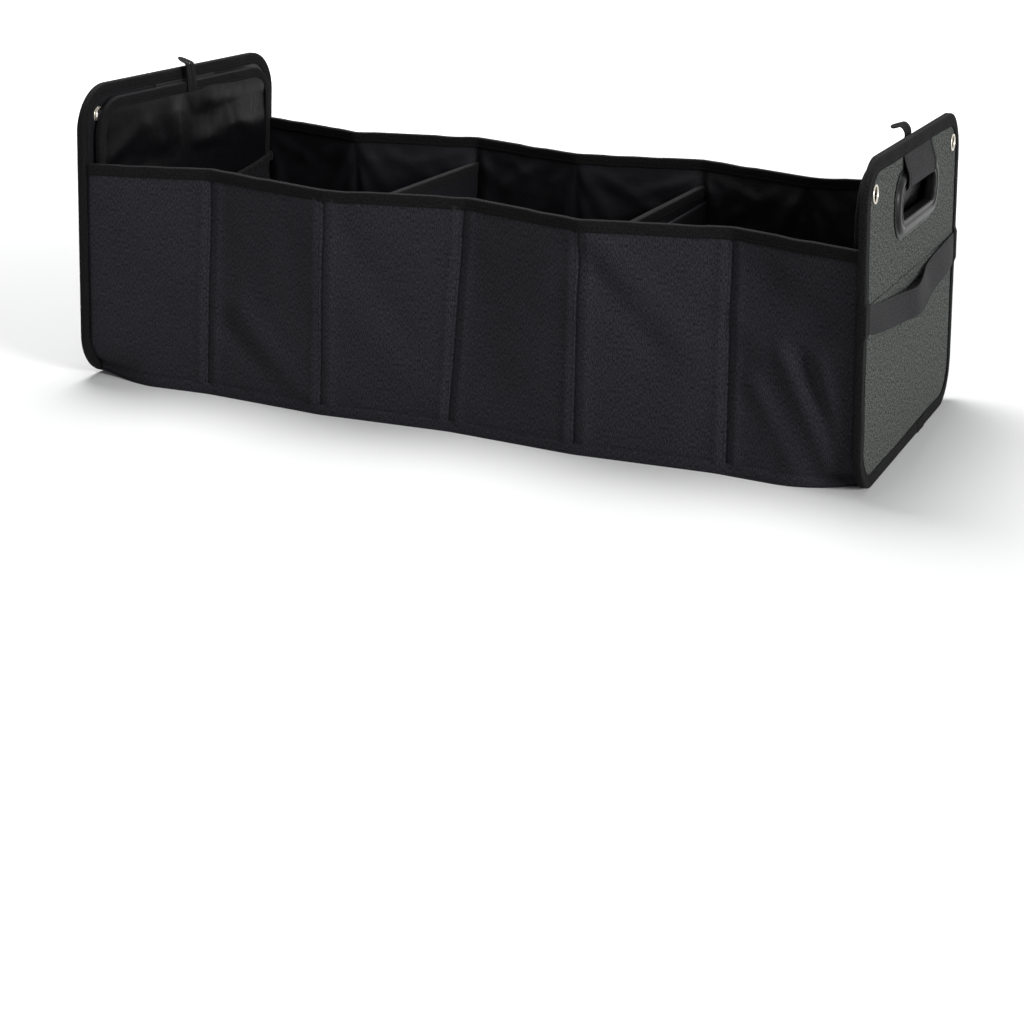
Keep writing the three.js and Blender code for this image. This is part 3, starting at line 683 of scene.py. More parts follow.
# WALL HEM
# A folded band of canvas along the foot, where walls and floor are sewn together. It puckers a
# little at the stitches and lifts off the ground next to the end panels.
hem_height, hem_thickness = 0.010, 0.0007
hem_lift, hem_lift_reach = 0.0022, 0.11
hem_vs = np.array([0.0006, 0.001, 0.0018, 0.003, 0.005, 0.007, 0.0085, 0.0095, hem_height])
for side, name in walls:
    def on_hem(u, v):
        even = -side * u
        pucker = 0.00035 * uneven(even, 0 * even, 0.011, 5 + side) + 0.0003
        bulge = np.maximum(np.sin(np.pi * np.clip(v / hem_height, 0, 1)), 0) ** 0.5
        near_end = (np.abs(even) - wall_end + hem_lift_reach) / hem_lift_reach
        lift = hem_lift * np.clip(near_end, 0, 1) ** 1.5
        z = v + lift * np.clip(1 - v / hem_height, 0, 1)
        return wall_point(even, z, side, -0.0003 - (0.0007 + pucker) * bulge)

    hem = cloth_sheet(f"{name}_wall_hem_band", seam_spacing(0.0028, 0.0012), hem_vs, on_hem,
                      hem_thickness, canvas.material)
    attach(hem, "root")
    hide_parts(f"{name}_wall_hem")


# FLOOR
# One sheet of the same canvas, coated below and sewn to the foot of both walls and both ends. It
# lies on the ground with shallow dents, and its corners are drawn up a little by the panels.
floor_face, floor_thickness, floor_half = 0.0012, 0.0011, 0.170


def on_floor(u, v):
    """A point of the floor: from end to end, and from -1 at the front wall to 1 at the back one."""
    edge = np.abs(wall_point(u, 0 * u + wall_foot, -1)[..., 1]) + edge_tape_room
    dents = 0.0007 * (0.5 + 0.5 * uneven(u, v * floor_half, 0.05, 21))
    return settle(u, v * edge, floor_face + dents * (1 - v ** 6) + foot_lift(u) * v ** 8)


floor = cloth_sheet("floor_canvas", np.linspace(-wall_end, wall_end, 120), np.linspace(-1, 1, 52),
                    on_floor, floor_thickness, canvas.material)
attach(floor, "root")
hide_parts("floor")


# DIVIDERS
# A stiff board in each, with black nylon folded over it, tape on the top edge, and its ends sewn
# into the walls' seams. The right one has a flat slip pocket of nylon on its right face.
divider_height, divider_half, divider_thick = 0.180, 0.1647, 0.0040
divider_field = rumpled(2 * divider_half, divider_height, 0.03, 7)
divider_top = divider_height - edge_tape_room


def divider_x(name):
    return -section if name == "left" else section


def on_divider(name, flipped):
    middle_x = divider_x(name)

    def place(u, v):
        down = np.abs(v)
        loose = 0.0028 * on_field(divider_field, 0.5 - flipped * u / (2 * divider_half),
                                  (divider_top - down) / divider_top)
        half = divider_thick / 2
        over = np.clip(v / half, -1, 1)
        drop = (divider_top - wall_foot) / (divider_top - half)
        z = divider_top - np.maximum(down - half, 0) * drop
        return settle(middle_x + over * (half + loose * (np.abs(over) >= 1)), -u, z)

    return place


divider_us = np.linspace(-divider_half, divider_half, 70)
down_rows = np.concatenate([[0.0015], np.linspace(0.004, divider_top, 40)])
divider_vs = np.concatenate([-down_rows[::-1] - 0.0005, [-0.001, 0, 0.001], down_rows + 0.0005])
for name, flipped in (("left", 1), ("right", -1)):
    cloth = cloth_sheet(f"{name}_divider_cloth", divider_us, divider_vs, on_divider(name, flipped),
                        lining_thickness, nylon.material)
    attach(cloth, "root")
    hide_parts(f"{name}_divider")

    def on_divider_tape(u, inwards, z):
        return settle(divider_x(name) - divider_thick / 2 + inwards, divider_half - u, z)

    bound = ribbed_tape(f"{name}_divider_tape", 2 * divider_half,
                        over_edge(divider_height - top_tape_width, divider_height, -edge_tape_room,
                                  divider_thick + edge_tape_room), on_divider_tape)
    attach(bound, "root")
    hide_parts(f"{name}_divider_binding")

pocket_height = divider_height - 0.014
pocket_off, pocket_bulge, pocket_loose = 0.0031, 0.004, 0.0014


def on_pocket(u, v):
    middle_bulge = np.cos(np.pi * u / (2 * divider_half)) * np.clip(v / pocket_height, 0, 1)
    loose = on_field(divider_field, 0.5 + u / (2 * divider_half), v / pocket_height)
    off = divider_thick / 2 + pocket_off + pocket_bulge * middle_bulge + pocket_loose * loose
    return settle(section + off, u, v)


pocket = cloth_sheet("right_divider_pocket_cloth", divider_us,
                     np.linspace(wall_foot, pocket_height, 40), on_pocket, 0.0008, nylon.material)
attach(pocket, "root")
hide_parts("right_divider_pocket")


# END PANEL COVERS
# Grey heather polyester over a stiff board, in two parts. The lower part's top edge is a folded
# hem that laps over the upper part, a little above the middle, and is sewn down below its fold.
ends = ((1, "right"), (-1, "left"))
panel_half = 0.175
hole_half, hole_rise, hole_corner, hole_up = 0.063, 0.013, 0.011, 0.223
eyelet_across, eyelet_up = 0.147, 0.247
# How far the cloths' edges stay inside the panel's, and outside the barrels'
cover_inset, barrel_room, eyelet_hole = 0.0013, 0.0023, 0.0066


def panel_point(end, across, up, out):
    """A point on an end panel: across it, up, and out from the middle of its board."""
    return settle(end * (panel_centre + out + 0 * across), end * across, up)


def from_box(x, y, half_x, half_y, corner):
    """Distance outside a box with round corners about the origin, and the direction out of it."""
    qx, qy = np.abs(x) - half_x + corner, np.abs(y) - half_y + corner
    reach = np.hypot(np.maximum(qx, 0), np.maximum(qy, 0))
    off = reach + np.minimum(np.maximum(qx, qy), 0) - corner
    safe = np.maximum(reach, 1e-9)
    gx = np.where(reach > 0, np.maximum(qx, 0) / safe, qx >= qy) * np.sign(x + 1e-12)
    gy = np.where(reach > 0, np.maximum(qy, 0) / safe, qx < qy) * np.sign(y + 1e-12)
    return off, gx, gy


def cut_edges(x, y):
    """Moves points outside the cloths' outline onto it, and points in its holes onto their edges."""
    half_y = panel_height / 2
    off, gx, gy = from_box(x, y - half_y, panel_half - cover_inset, half_y - cover_inset,
                           panel_corner - cover_inset)
    x, y = x - np.maximum(off, 0) * gx, y - np.maximum(off, 0) * gy
    off, gx, gy = from_box(x, y - hole_up, hole_half + barrel_room, hole_rise + barrel_room,
                           hole_corner + barrel_room)
    x, y = x - np.minimum(off, 0) * gx, y - np.minimum(off, 0) * gy
    for side in (-1, 1):
        dx, dy = x - side * eyelet_across, y - eyelet_up
        reach = np.hypot(dx, dy)
        push = np.maximum(eyelet_hole - reach, 0) / np.maximum(reach, 1e-6)
        x, y = x + dx * push, y + dy * push
    return x, y


def off_panel(x, y):
    """True for the middle of a face that lies outside the panel or in one of its holes."""
    half_y, slack = panel_height / 2, 0.0005
    outside = from_box(x, y - half_y, panel_half - slack, half_y - slack, panel_corner)[0] > 0
    in_hole = from_box(x, y - hole_up, hole_half, hole_rise, hole_corner)[0] < 0
    in_eyelet = np.hypot(np.abs(x) - eyelet_across, y - eyelet_up) < 0.0055
    return outside | in_hole | in_eyelet


heather = Finish("grey_heather", (0.1, 0.105, 0.102), 0.9, 0.10, sheen=0.03, sheen_spread=0.6)
flecks_across = heather.grain(250, (1.0, 3.6, 1), 3.0, 0.72)
flecks_up = heather.grain(290, (3.4, 1.0, 1), 3.0, 0.72)
flecks = heather.math("ADD", heather.math("MULTIPLY", flecks_across, 0.55),
                      heather.math("MULTIPLY", flecks_up, 0.45))
heather.tint(flecks, (0.006, 0.008, 0.007), (0.124, 0.132, 0.124), 0.455, 0.545)
heather.bump(heather.weave(0.0010, 0.0009), 0.00022, 0.9)
heather.bump(flecks, 0.00035, 0.6)
cover_out, cover_thickness, cover_wave = 0.0022, 0.0009, 0.0003
cover_half, between_tapes, seam_up = panel_half - cover_inset, 0.1637, 0.1462
# The lower cover from its foot to the fold of its hem: (up, out from the board's middle)
seam_lap = [(0.0015, 0.0022), (0.146, 0.0022), (0.1466, 0.0026), (0.1472, 0.0032), (0.150, 0.0034),
            (0.156, 0.0035), (0.1582, 0.0034), (0.1590, 0.0030), (0.1592, 0.0024)]
lap_up, lap_out = np.array(seam_lap).T
lap_v = distances(seam_lap)
cover_us = np.linspace(-cover_half, cover_half, 125)
upper_vs = np.linspace(0.1465, panel_height - cover_inset, 47)
lower_vs = np.concatenate([np.linspace(0, 0.1445, 50), lap_v[1:]])
for end, name in ends:
    def on_upper(u, v):
        x, y = cut_edges(u, v)
        return panel_point(end, x, y, cover_out + cover_wave * uneven(u, v, 0.05, 31 + end))

    def on_lower(u, v):
        up, out = np.interp(v, lap_v, lap_up), np.interp(v, lap_v, lap_out)
        in_lap = up > seam_up
        x, y = cut_edges(u * np.where(in_lap, between_tapes / cover_half, 1.0), up)
        wavy = cover_wave * uneven(u, v, 0.05, 37 + end)
        return panel_point(end, x, y, out + wavy + cover_wave * in_lap * uneven(u, 0 * u, 0.02, 38))

    upper = cloth_sheet(f"{name}_cover_upper_cloth", cover_us, upper_vs, on_upper, cover_thickness,
                        heather.material, drop=off_panel)
    lower = cloth_sheet(f"{name}_cover_lower_cloth", cover_us, lower_vs, on_lower, cover_thickness,
                        heather.material, drop=lambda u, v: off_panel(u, np.minimum(v, 0.15)))
    for cloth, node, tall in ((upper, "cover_upper", 0.127), (lower, "cover_lower", 0.160)):
        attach(cloth, "root")
        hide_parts(f"{name}_{node}")
    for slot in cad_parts[f"{name}_panel_board"].material_slots:
        slot.material = board_card.material


# END PANEL LINING
# The same black nylon on the inner side of each end panel, smooth against the board. Its edges
# are caught in the tape, and it is cut out round the hand hole's barrel and the eyelets.
panel_lining_in, panel_lining_loose, panel_lining_thickness = 0.0019, 0.0007, 0.0005
panel_lining_vs = np.linspace(cover_inset, panel_height - cover_inset, 70)
for end, name in ends:
    def on_inside(u, v):
        x, y = cut_edges(-u, v)
        loose = panel_lining_loose * (0.5 + 0.5 * uneven(u, v, 0.045, 43 + end))
        return panel_point(end, x, y, -panel_lining_in - loose)

    cloth = cloth_sheet(f"{name}_panel_lining_cloth", cover_us, panel_lining_vs, on_inside,
                        panel_lining_thickness, nylon.material, drop=lambda u, v: off_panel(-u, v))
    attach(cloth, "root")
    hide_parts(f"{name}_panel_lining")


# END PANEL TAPE
# The ribbed tape folded round the whole edge of an end panel over cover, board and lining, with
# the walls' ends caught in it. Its own ends overlap at the bottom.
def round_path(u, half, low, high, corner):
    """Along a box with round corners from the middle of its bottom, with the direction outwards."""
    flat_x, flat_y, arc = 2 * (half - corner), high - low - 2 * corner, math.pi / 2 * corner
    total = 2 * flat_x + 2 * flat_y + 4 * arc
    u = (u + flat_x / 2) % total
    x, y, ox, oy = 0 * u, 0 * u, 0 * u, 0 * u
    begin = 0.0
    quarter_centres = ((half - corner, low + corner), (half - corner, high - corner),
                       (-half + corner, high - corner), (-half + corner, low + corner))
    for k, (cx, cy) in enumerate(quarter_centres):
        run = flat_x if k % 2 == 0 else flat_y
        turn = (k - 1) * math.pi / 2
        dx, dy = math.cos(turn), math.sin(turn)
        here = (u >= begin) & (u < begin + run)
        back = begin + run - u
        x = np.where(here, cx + corner * dx + back * dy, x)
        y = np.where(here, cy + corner * dy - back * dx, y)
        ox, oy = np.where(here, dx, ox), np.where(here, dy, oy)
        begin += run
        here = (u >= begin) & (u < begin + arc)
        angle = turn + (u - begin) / corner
        x = np.where(here, cx + corner * np.cos(angle), x)
        y = np.where(here, cy + corner * np.sin(angle), y)
        ox, oy = np.where(here, np.cos(angle), ox), np.where(here, np.sin(angle), oy)
        begin += arc
    return x, y, ox, oy


def round_length(half, low, high, corner):
    """How long such a path is."""
    return 4 * half + 2 * (high - low) - (8 - 2 * math.pi) * corner


def round_profile(width, inner, outer):
    """Profile of a tape round a flat board's edge, from its inner face to its outer one."""
    turn, draw = 0.0012, 0.0004
    face = [(width, 0), (width * 0.86, 0), (width * 0.80, draw), (width * 0.74, 0), (width * 0.5, 0),
            (width * 0.25, 0), (turn, 0), (0.3 * turn, 0.3 * turn), (0, turn)]
    return ([(x, inner + rise) for x, rise in face] + [(0, (inner + outer) / 2)]
            + [(x, outer - rise) for x, rise in face[::-1]])


panel_outline = (panel_half, 0, panel_height, panel_corner)
panel_tape_width, panel_tape_in, panel_tape_out = 0.011, -0.0032, 0.0035
tape_room = 0.0002
# Where the tape's own ends overlap, along its path, and where it goes over the closing strap
joint_place, joint_half, joint_slope, joint_rise = 0.050, 0.013, 0.0008, 0.0008
strap_middle, strap_room, strap_slope, strap_rise = 0.1487, 0.0165, 0.0040, 0.0015
for end, name in ends:
    def on_panel_tape(u, inwards, height):
        x, y, ox, oy = round_path(u, *panel_outline)
        joint = np.clip((joint_half - np.abs(u - joint_place)) / joint_slope, 0, 1)
        wave = 0.00025 * np.sin(u * 47) + 0.0002 * np.sin(u * 113)
        inwards = inwards * (1 + 0.05 * np.sin(u * 31) * (inwards > 0.008)) + tape_room
        at_strap = np.clip((strap_room - np.abs(y - strap_middle)) / strap_slope, 0, 1)
        over_strap = (end > 0) * (height > 0.002) * at_strap * (np.abs(ox) > 0.99)
        lift = joint_rise * joint + wave * (inwards > 0.002)
        out = height + np.sign(height) * lift + strap_rise * over_strap
        return panel_point(end, x - ox * inwards, y - oy * inwards, out)

    bound = ribbed_tape(f"{name}_panel_tape", round_length(*panel_outline),
                        round_profile(panel_tape_width, panel_tape_in, panel_tape_out),
                        on_panel_tape, ring=True)
    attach(bound, "root")
    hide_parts(f"{name}_panel_binding")


# HAND HOLE INSERT
# One black moulding round each hand hole: a thin flange sewn to the cover, a sloped ring, a groove
# and a rounded lip, and a barrel through the panel that ends just inside it.
plastic = Finish("black_moulding", (0.0060, 0.0060, 0.0065), 0.34, 0.16)
plastic.bump(plastic.grain(1800, (1, 1, 1), 3.0, cloth=False), 0.00006, 0.35)
plastic.rough(plastic.grain(60, (1, 1, 1), 4.0, cloth=False), 0.28, 0.44)
# Closed profile: (away from the hole's edge, out from the board's middle)
insert_profile = [
    (0.0160, 0.0025), (0.0161, 0.0031), (0.0157, 0.0035), (0.0146, 0.00355), (0.0133, 0.00355),
    (0.0129, 0.0037), (0.0125, 0.0044), (0.0113, 0.0057), (0.0101, 0.0065), (0.0088, 0.0069),
    (0.0074, 0.0070), (0.0060, 0.0068), (0.0051, 0.0063), (0.0046, 0.0056), (0.0041, 0.0053),
    (0.0036, 0.0055), (0.0030, 0.0061), (0.0022, 0.0066), (0.0012, 0.0066), (0.0004, 0.0062),
    (0.0000, 0.0054), (0.0000, 0.0030), (0.0000, 0.0000), (0.0000, -0.0027), (0.0003, -0.0030),
    (0.0017, -0.0030), (0.0020, -0.0027), (0.0020, 0.0022), (0.0030, 0.0025), (0.0160, 0.0025),
]
insert_away, insert_out = np.array(insert_profile).T
insert_v = distances(insert_profile)
hole_outline = (hole_half, hole_up - hole_rise, hole_up + hole_rise, hole_corner)
insert_us = np.linspace(0, round_length(*hole_outline), 281)


def merge_close(piece, reach=0.00002):
    """Joins points that lie on each other, as where a closed profile ends at its start."""
    nearby = piece.modifiers.new("joined", "WELD")
    nearby.merge_threshold = reach
    return piece


for end, name in ends:
    def on_insert(u, v):
        x, y, ox, oy = round_path(u, *hole_outline)
        away, out = np.interp(v, insert_v, insert_away), np.interp(v, insert_v, insert_out)
        return panel_point(end, x + ox * away, y + oy * away, out)

    moulding = cloth_sheet(f"{name}_hand_hole_moulding", insert_us, insert_v, on_insert, 0,
                           plastic.material, ring=True)
    merge_close(moulding)
    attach(moulding, "root")
    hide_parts(f"{name}_handle_insert")


# GRIP WRAP
# A strip of canvas with hemmed sides, sewn under the top tape, laid over the moulding's upper bar,
# through the hole and up the inside, so the hand holds cloth and not the edge.
wrap_half, wrap_thickness = 0.053, 0.0007
# (up, out) of its outer side, from the top tape outside to the top tape inside
wrap_path = np.array([
    (0.2640, 0.0034), (0.2600, 0.0044), (0.2565, 0.0053), (0.2545, 0.0059), (0.2530, 0.0064),
    (0.2512, 0.0071), (0.2492, 0.0078), (0.2465, 0.0083), (0.2430, 0.0085), (0.2400, 0.0084),
    (0.2378, 0.0081), (0.2361, 0.0073), (0.2351, 0.0060), (0.2347, 0.0040), (0.2347, 0.0010),
    (0.2347, -0.0018), (0.2351, -0.0033), (0.2362, -0.0041), (0.2385, -0.0042), (0.2450, -0.0042),
    (0.2520, -0.0042), (0.2580, -0.0041), (0.2640, -0.0040),
])
wrap_v = distances(wrap_path)
wrap_hem, hem_fold, hem_slope = 0.0456, 0.0520, 0.0010
hem_rise, pull_rise = 0.00055, 0.0004
hem_us = np.array([wrap_hem, 0.0463, 0.0475, 0.0500, 0.0522, 0.0528, wrap_half])
wrap_us = np.concatenate([-hem_us[::-1], np.linspace(-0.0445, 0.0445, 52), hem_us])
wrap_rows = np.interp(np.linspace(0, 1, 60), np.linspace(0, 1, len(wrap_v)), wrap_v)
wrap_slope = np.gradient(wrap_path, wrap_v, axis=0)
wrap_slope /= np.hypot(*wrap_slope.T)[:, None]
grip_cloth = Finish("grip_canvas", (0.030, 0.030, 0.032), 0.78, 0.12, sheen=0.03)
grip_threads = grip_cloth.grain(850, (1, 0.4, 1))
grip_cloth.tint(grip_threads, (0.006, 0.006, 0.007), (0.024, 0.024, 0.026), 0.38, 0.62)
grip_cloth.bump(grip_cloth.weave(0.0010, 0.0010), 0.00025, 1.0)
for end, name in ends:
    def on_wrap(u, v):
        up, out = np.interp(v, wrap_v, wrap_path[:, 0]), np.interp(v, wrap_v, wrap_path[:, 1])
        ny, nz = -np.interp(v, wrap_v, wrap_slope[:, 1]), np.interp(v, wrap_v, wrap_slope[:, 0])
        hem = np.clip((np.abs(u) - wrap_hem) / hem_slope, 0, 1)
        hem = hem * (1 - np.clip((np.abs(u) - hem_fold) / hem_slope, 0, 1) ** 2)
        share = v / wrap_v[-1]
        seen = np.clip(share * 8, 0, 1) * np.clip((0.5 - share) * 8, 0, 1)
        pulls = pull_rise * seen * uneven(u, v, 0.022, 51 + end)
        lift = hem_rise * hem * np.clip((0.55 - share) * 6, 0.2, 1) + np.maximum(pulls, 0)
        return panel_point(end, -u, up + ny * -lift, out - nz * lift)

    wrap = cloth_sheet(f"{name}_grip_cloth", wrap_us, wrap_rows, on_wrap, wrap_thickness,
                       grip_cloth.material)
    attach(wrap, "root")
    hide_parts(f"{name}_grip_wrap")


# EYELETS
# Nickel-plated eyelets in the upper corners of the end panels: a rounded rim outside, and a barrel
# through all layers whose end is rolled over a washer inside.
nickel_colour = (0.62, 0.58, 0.50)
nickel = Finish("nickel_plate", nickel_colour, 0.18, 0.5, metallic=1.0)
nickel.rough(nickel.grain(400, (1, 1, 1), 3.0, cloth=False), 0.12, 0.26)
# The barrel's inside, found by its place along the profile, is painted dark: painted shade in the
# eyelet's hole
barrel_middle = 0.0070
barrel_place = nickel.node("ShaderNodeSeparateXYZ", {0: nickel.place()}).outputs[1]
from_barrel = nickel.math("ABSOLUTE", nickel.math("SUBTRACT", barrel_place, barrel_middle))
barrel_painted_shade = nickel.math("MULTIPLY", from_barrel, 100.0)
nickel.tint(barrel_painted_shade, (0.020, 0.018, 0.016), nickel_colour, 0.31, 0.35)
# Closed profiles: (radius, out from the board's middle)
eyelet_profile = [
    (0.0080, 0.0025), (0.00806, 0.0030), (0.0078, 0.0035), (0.0073, 0.0038), (0.0067, 0.0038),
    (0.0062, 0.0034), (0.0059, 0.0028), (0.00575, 0.0018), (0.00575, -0.0034), (0.0059, -0.0040),
    (0.0063, -0.0042), (0.0069, -0.0041), (0.0071, -0.0038), (0.0070, -0.0035), (0.0066, -0.0034),
    (0.0063, -0.0033), (0.0063, 0.0022), (0.0064, 0.0025), (0.0080, 0.0025),
]
washer_profile = [(0.0080, -0.0022), (0.0066, -0.0022), (0.0066, -0.0030), (0.0068, -0.0031),
                  (0.0075, -0.0031), (0.0078, -0.0030), (0.0080, -0.0025), (0.0080, -0.0022)]


def turned(name, end, profile, side, material):
    """A turned ring round an eyelet's axis, from a closed profile of radius and height."""
    radius, height = np.array(profile).T
    places = distances(profile)

    def on_ring(angle, v):
        reach = np.interp(v, places, radius)
        across = side * eyelet_across + reach * np.cos(angle)
        up = eyelet_up + reach * np.sin(angle)
        return panel_point(end, across, up, np.interp(v, places, height))

    angles = np.linspace(0, 2 * math.pi, 49)
    return merge_close(cloth_sheet(name, angles, places, on_ring, 0, material, ring=True))


for end, name in ends:
    for side, place in ((-end, "front"), (end, "back")):
        for label, profile in (("eyelet", eyelet_profile), ("eyelet_washer", washer_profile)):
            ring = turned(f"{name}_{label}_{place}_ring", end, profile, side, nickel.material)
            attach(ring, "root")
            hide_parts(f"{name}_{label}_{place}")


# BASE BOARDS
# Two stiff boards for the floor, bagged in black nylon with tape round the edge. Each is stood up
# in the mesh pocket of an end panel, with its pull loop at the top.
board_half, board_low, board_top, board_corner = 0.158, 0.0015, 0.262, 0.036
board_outline = (board_half, board_low, board_top, board_corner)
bag_inset, bag_thickness, bag_in = 0.0013, 0.0026, 0.0090
bag_loose, fold_least, fold_most, bag_hem = 0.0030, 0.0010, 0.006, 0.012
mesh_holds_to, mesh_holds_fade = 0.150, 0.03
# The linings' black nylon again, painted darker and with less shine: painted shade on the base boards
shaded_bag_nylon = Finish("black_bag_nylon_painted_shade", (0.0034, 0.0033, 0.0040), 0.38, 0.07)
crumpled_nylon(shaded_bag_nylon, 0.32, 0.44)
board_fields = [rumpled(2 * board_half, board_top, 0.035, seed, step=0.0085) for seed in (11, 12)]
# Soft folds of the bag over its board, as the walls' own
board_folds = [
    (0.030, 0.245, 0.150, 0.241, 0.0110, 0.0032), (0.145, 0.229, 0.010, 0.222, 0.0090, -0.0030),
    (-0.010, 0.238, -0.003, 0.186, 0.0080, -0.0032), (-0.036, 0.242, -0.052, 0.214, 0.0120, 0.0026),
    (0.014, 0.200, 0.066, 0.210, 0.0100, 0.0034), (0.010, 0.190, 0.120, 0.172, 0.0090, -0.0028),
    (-0.150, 0.204, -0.088, 0.229, 0.0090, 0.0032), (-0.125, 0.196, -0.035, 0.198, 0.0090, -0.0026),
    (0.090, 0.212, 0.150, 0.190, 0.0100, 0.0024), (-0.090, 0.178, -0.015, 0.166, 0.0110, 0.0022),
]
board_us = np.linspace(-board_half + bag_inset, board_half - bag_inset, 110)
board_vs = np.linspace(board_low + bag_inset, board_top - bag_inset, 92)
board_middle = (board_low + board_top) / 2
board_rise = (board_top - board_low) / 2


def from_board_edge(u, v, inset):
    """Distance outside the board's outline less this inset, and the direction out of it."""
    return from_box(u, v - board_middle, board_half - inset, board_rise - inset, board_corner - inset)


def off_board(u, v):
    return from_board_edge(u, v, 0.002)[0] > 0


for number, (end, name) in enumerate(ends):
    def on_base_board(u, v):
        off, gx, gy = from_board_edge(-u, v, bag_inset)
        x, y = -u - np.maximum(off, 0) * gx, v - np.maximum(off, 0) * gy
        loose = on_field(board_fields[number], 0.5 + u / (2 * board_half), v / board_top)
        # The mesh holds the bag's lower part against the board
        free = 0.4 + 0.6 * np.clip((v - mesh_holds_to) / mesh_holds_fade, 0, 1)
        inside = np.clip(-off / bag_hem, 0, 1)
        folds = np.clip(fold_least + fold_height(-end * u, v, board_folds), 0, fold_most)
        return panel_point(end, x, y, -bag_in - (bag_loose * loose + folds) * free * inside)

    cloth = cloth_sheet(f"{name}_base_board_cloth", board_us, board_vs, on_base_board, bag_thickness,
                        shaded_bag_nylon.material, drop=off_board)
    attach(cloth, "root")
    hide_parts(f"{name}_base_board")

    def on_board_tape(u, inwards, height):
        x, y, ox, oy = round_path(u, *board_outline)
        inwards = inwards + tape_room
        wave = 0.0003 * np.sin(u * 53 + end) + 0.0002 * np.sin(u * 121)
        out = height - (0.0004 + np.abs(wave)) * (height < -bag_in)
        return panel_point(end, x - ox * inwards, y - oy * inwards, out)

    bound = ribbed_tape(f"{name}_base_board_tape", round_length(*board_outline),
                        round_profile(0.010, -0.0103, -0.0050), on_board_tape, ring=True)
    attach(bound, "root")
    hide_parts(f"{name}_base_board_binding")


# PULL LOOPS
# A narrow doubled tape sewn flat to each base board near its top edge, standing up as an open eye
# to pull the board out by.
def smooth_path(points, steps):
    """A smooth curve through points, with this many steps between each two."""
    p = np.array(points, float)
    p = np.concatenate([[2 * p[0] - p[1]], p, [2 * p[-1] - p[-2]]])
    t = np.linspace(0, 1, steps, endpoint=False)[:, None]
    parts = []
    for k in range(1, len(p) - 2):
        a, b, c, d = p[k - 1], p[k], p[k + 1], p[k + 2]
        parts.append(0.5 * (2 * b + (c - a) * t + (2 * a - 5 * b + 4 * c - d) * t ** 2
                            + (3 * b - a - 3 * c + d) * t ** 3))
    return np.concatenate([*parts, p[-2:-1]])


# A strand's middle from its foot to the loop's tip: (off the panel board's middle, up)
loop_strands = {
    "right": [(-0.0124, 0.2520), (-0.0125, 0.2560), (-0.0122, 0.2600), (-0.0100, 0.2650),
              (-0.0072, 0.2700), (-0.0064, 0.2745), (-0.0078, 0.2785), (-0.0110, 0.2810),
              (-0.0150, 0.2800)],
    "left": [(-0.0124, 0.2520), (-0.0125, 0.2560), (-0.0123, 0.2600), (-0.0120, 0.2650),
             (-0.0113, 0.2700), (-0.0106, 0.2745), (-0.0101, 0.2775), (-0.0088, 0.2796),
             (-0.0072, 0.2803)],
}
# How far each loop turns on its way up, and how far its strands part at the tip
loop_twist, loop_eye = {"right": -0.14, "left": 0.08}, {"right": 0.0002, "left": 0.0013}
loop_half, loop_apart, loop_tip = 0.0038, 0.0041, 0.0012
for end, name in ends:
    strand = smooth_path(loop_strands[name], 4)
    aim = np.gradient(strand, axis=0)
    aim /= np.hypot(*aim.T)[:, None]
    apart = loop_apart + loop_eye[name] * np.linspace(0, 1, len(strand)) ** 3
    turn = np.linspace(0, np.pi, 17)[1:-1]
    # The tape goes up on one side, round the tip, and down on the other: its middle and its width
    across = np.concatenate([-apart, -apart[-1] * np.cos(turn), apart[::-1]])
    bow = np.sin(turn)[:, None]
    tip = strand[-1] + apart[-1] * bow * aim[-1] + loop_tip * bow ** 2
    middle_line = np.concatenate([strand, tip, strand[::-1]])
    side_on = np.concatenate([0 * apart - 1, -np.cos(turn), 0 * apart + 1])
    lengthwise = np.sqrt(1 - side_on ** 2)[:, None] * aim[-1]
    twist = loop_twist[name] * np.clip(np.linspace(-0.2, 1.3, len(strand)), 0, 1)
    twist = np.concatenate([twist, twist[-1] + 0 * turn, twist[::-1]])
    normal = np.column_stack([-aim[:, 1], aim[:, 0]])
    normal = np.concatenate([normal, normal[-1] + 0 * tip, normal[::-1]])
    path = np.column_stack([across * np.cos(twist),
                            middle_line + (across * np.sin(twist))[:, None] * normal])
    lengthwise = lengthwise + (side_on * np.sin(twist))[:, None] * normal
    side_on = side_on * np.cos(twist)
    path_v = distances(path)

    def on_loop(u, v):
        x, out, up, wide, out_more, up_more = (
            np.interp(v, path_v, column) for column in (*path.T, side_on, *lengthwise.T))
        return panel_point(end, x + u * wide, up + u * up_more, out + u * out_more)

    loop = cloth_sheet(f"{name}_pull_loop_tape", np.linspace(-loop_half, loop_half, 9), path_v,
                       on_loop, tape_thickness, tape_cloth.material)
    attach(loop, "root")
    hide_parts(f"{name}_pull_loop")


# MESH POCKETS
# Black knitted mesh across each end, sewn in at both sides and the floor, with an elastic tape on
# its sagging top edge. It holds the base board against the end panel.
net_tree, net_in, net_add, net_close = new_tree(
    "knitted_net", ("Width", "Float"), ("Height", "Float"), ("Columns", "Int"), ("Rows", "Int"),
    ("Open share", "Float"), ("Material", "Material"))
net_grid = net_add("GeometryNodeMeshGrid",
                   {"Size X": net_in["Width"], "Size Y": net_in["Height"],
                    "Vertices X": net_in["Columns"], "Vertices Y": net_in["Rows"]})
net_halves = net_add("GeometryNodeTriangulate", {0: net_grid.outputs[0]})
net_cells = net_add("GeometryNodeDualMesh", {0: net_halves.outputs[0]})
net_inner = net_add("GeometryNodeExtrudeMesh", {"Mesh": net_cells.outputs[0], "Offset Scale": 0.0,
                                                "Individual": True}, mode="FACES")
net_hole = net_add("GeometryNodeScaleElements", {"Geometry": net_inner.outputs["Mesh"],
                                                 "Selection": net_inner.outputs["Top"],
                                                 "Scale": net_in["Open share"]})
net_open = net_add("GeometryNodeDeleteGeometry",
                   {0: net_hole.outputs[0], 1: net_inner.outputs["Top"]}, domain="FACE")
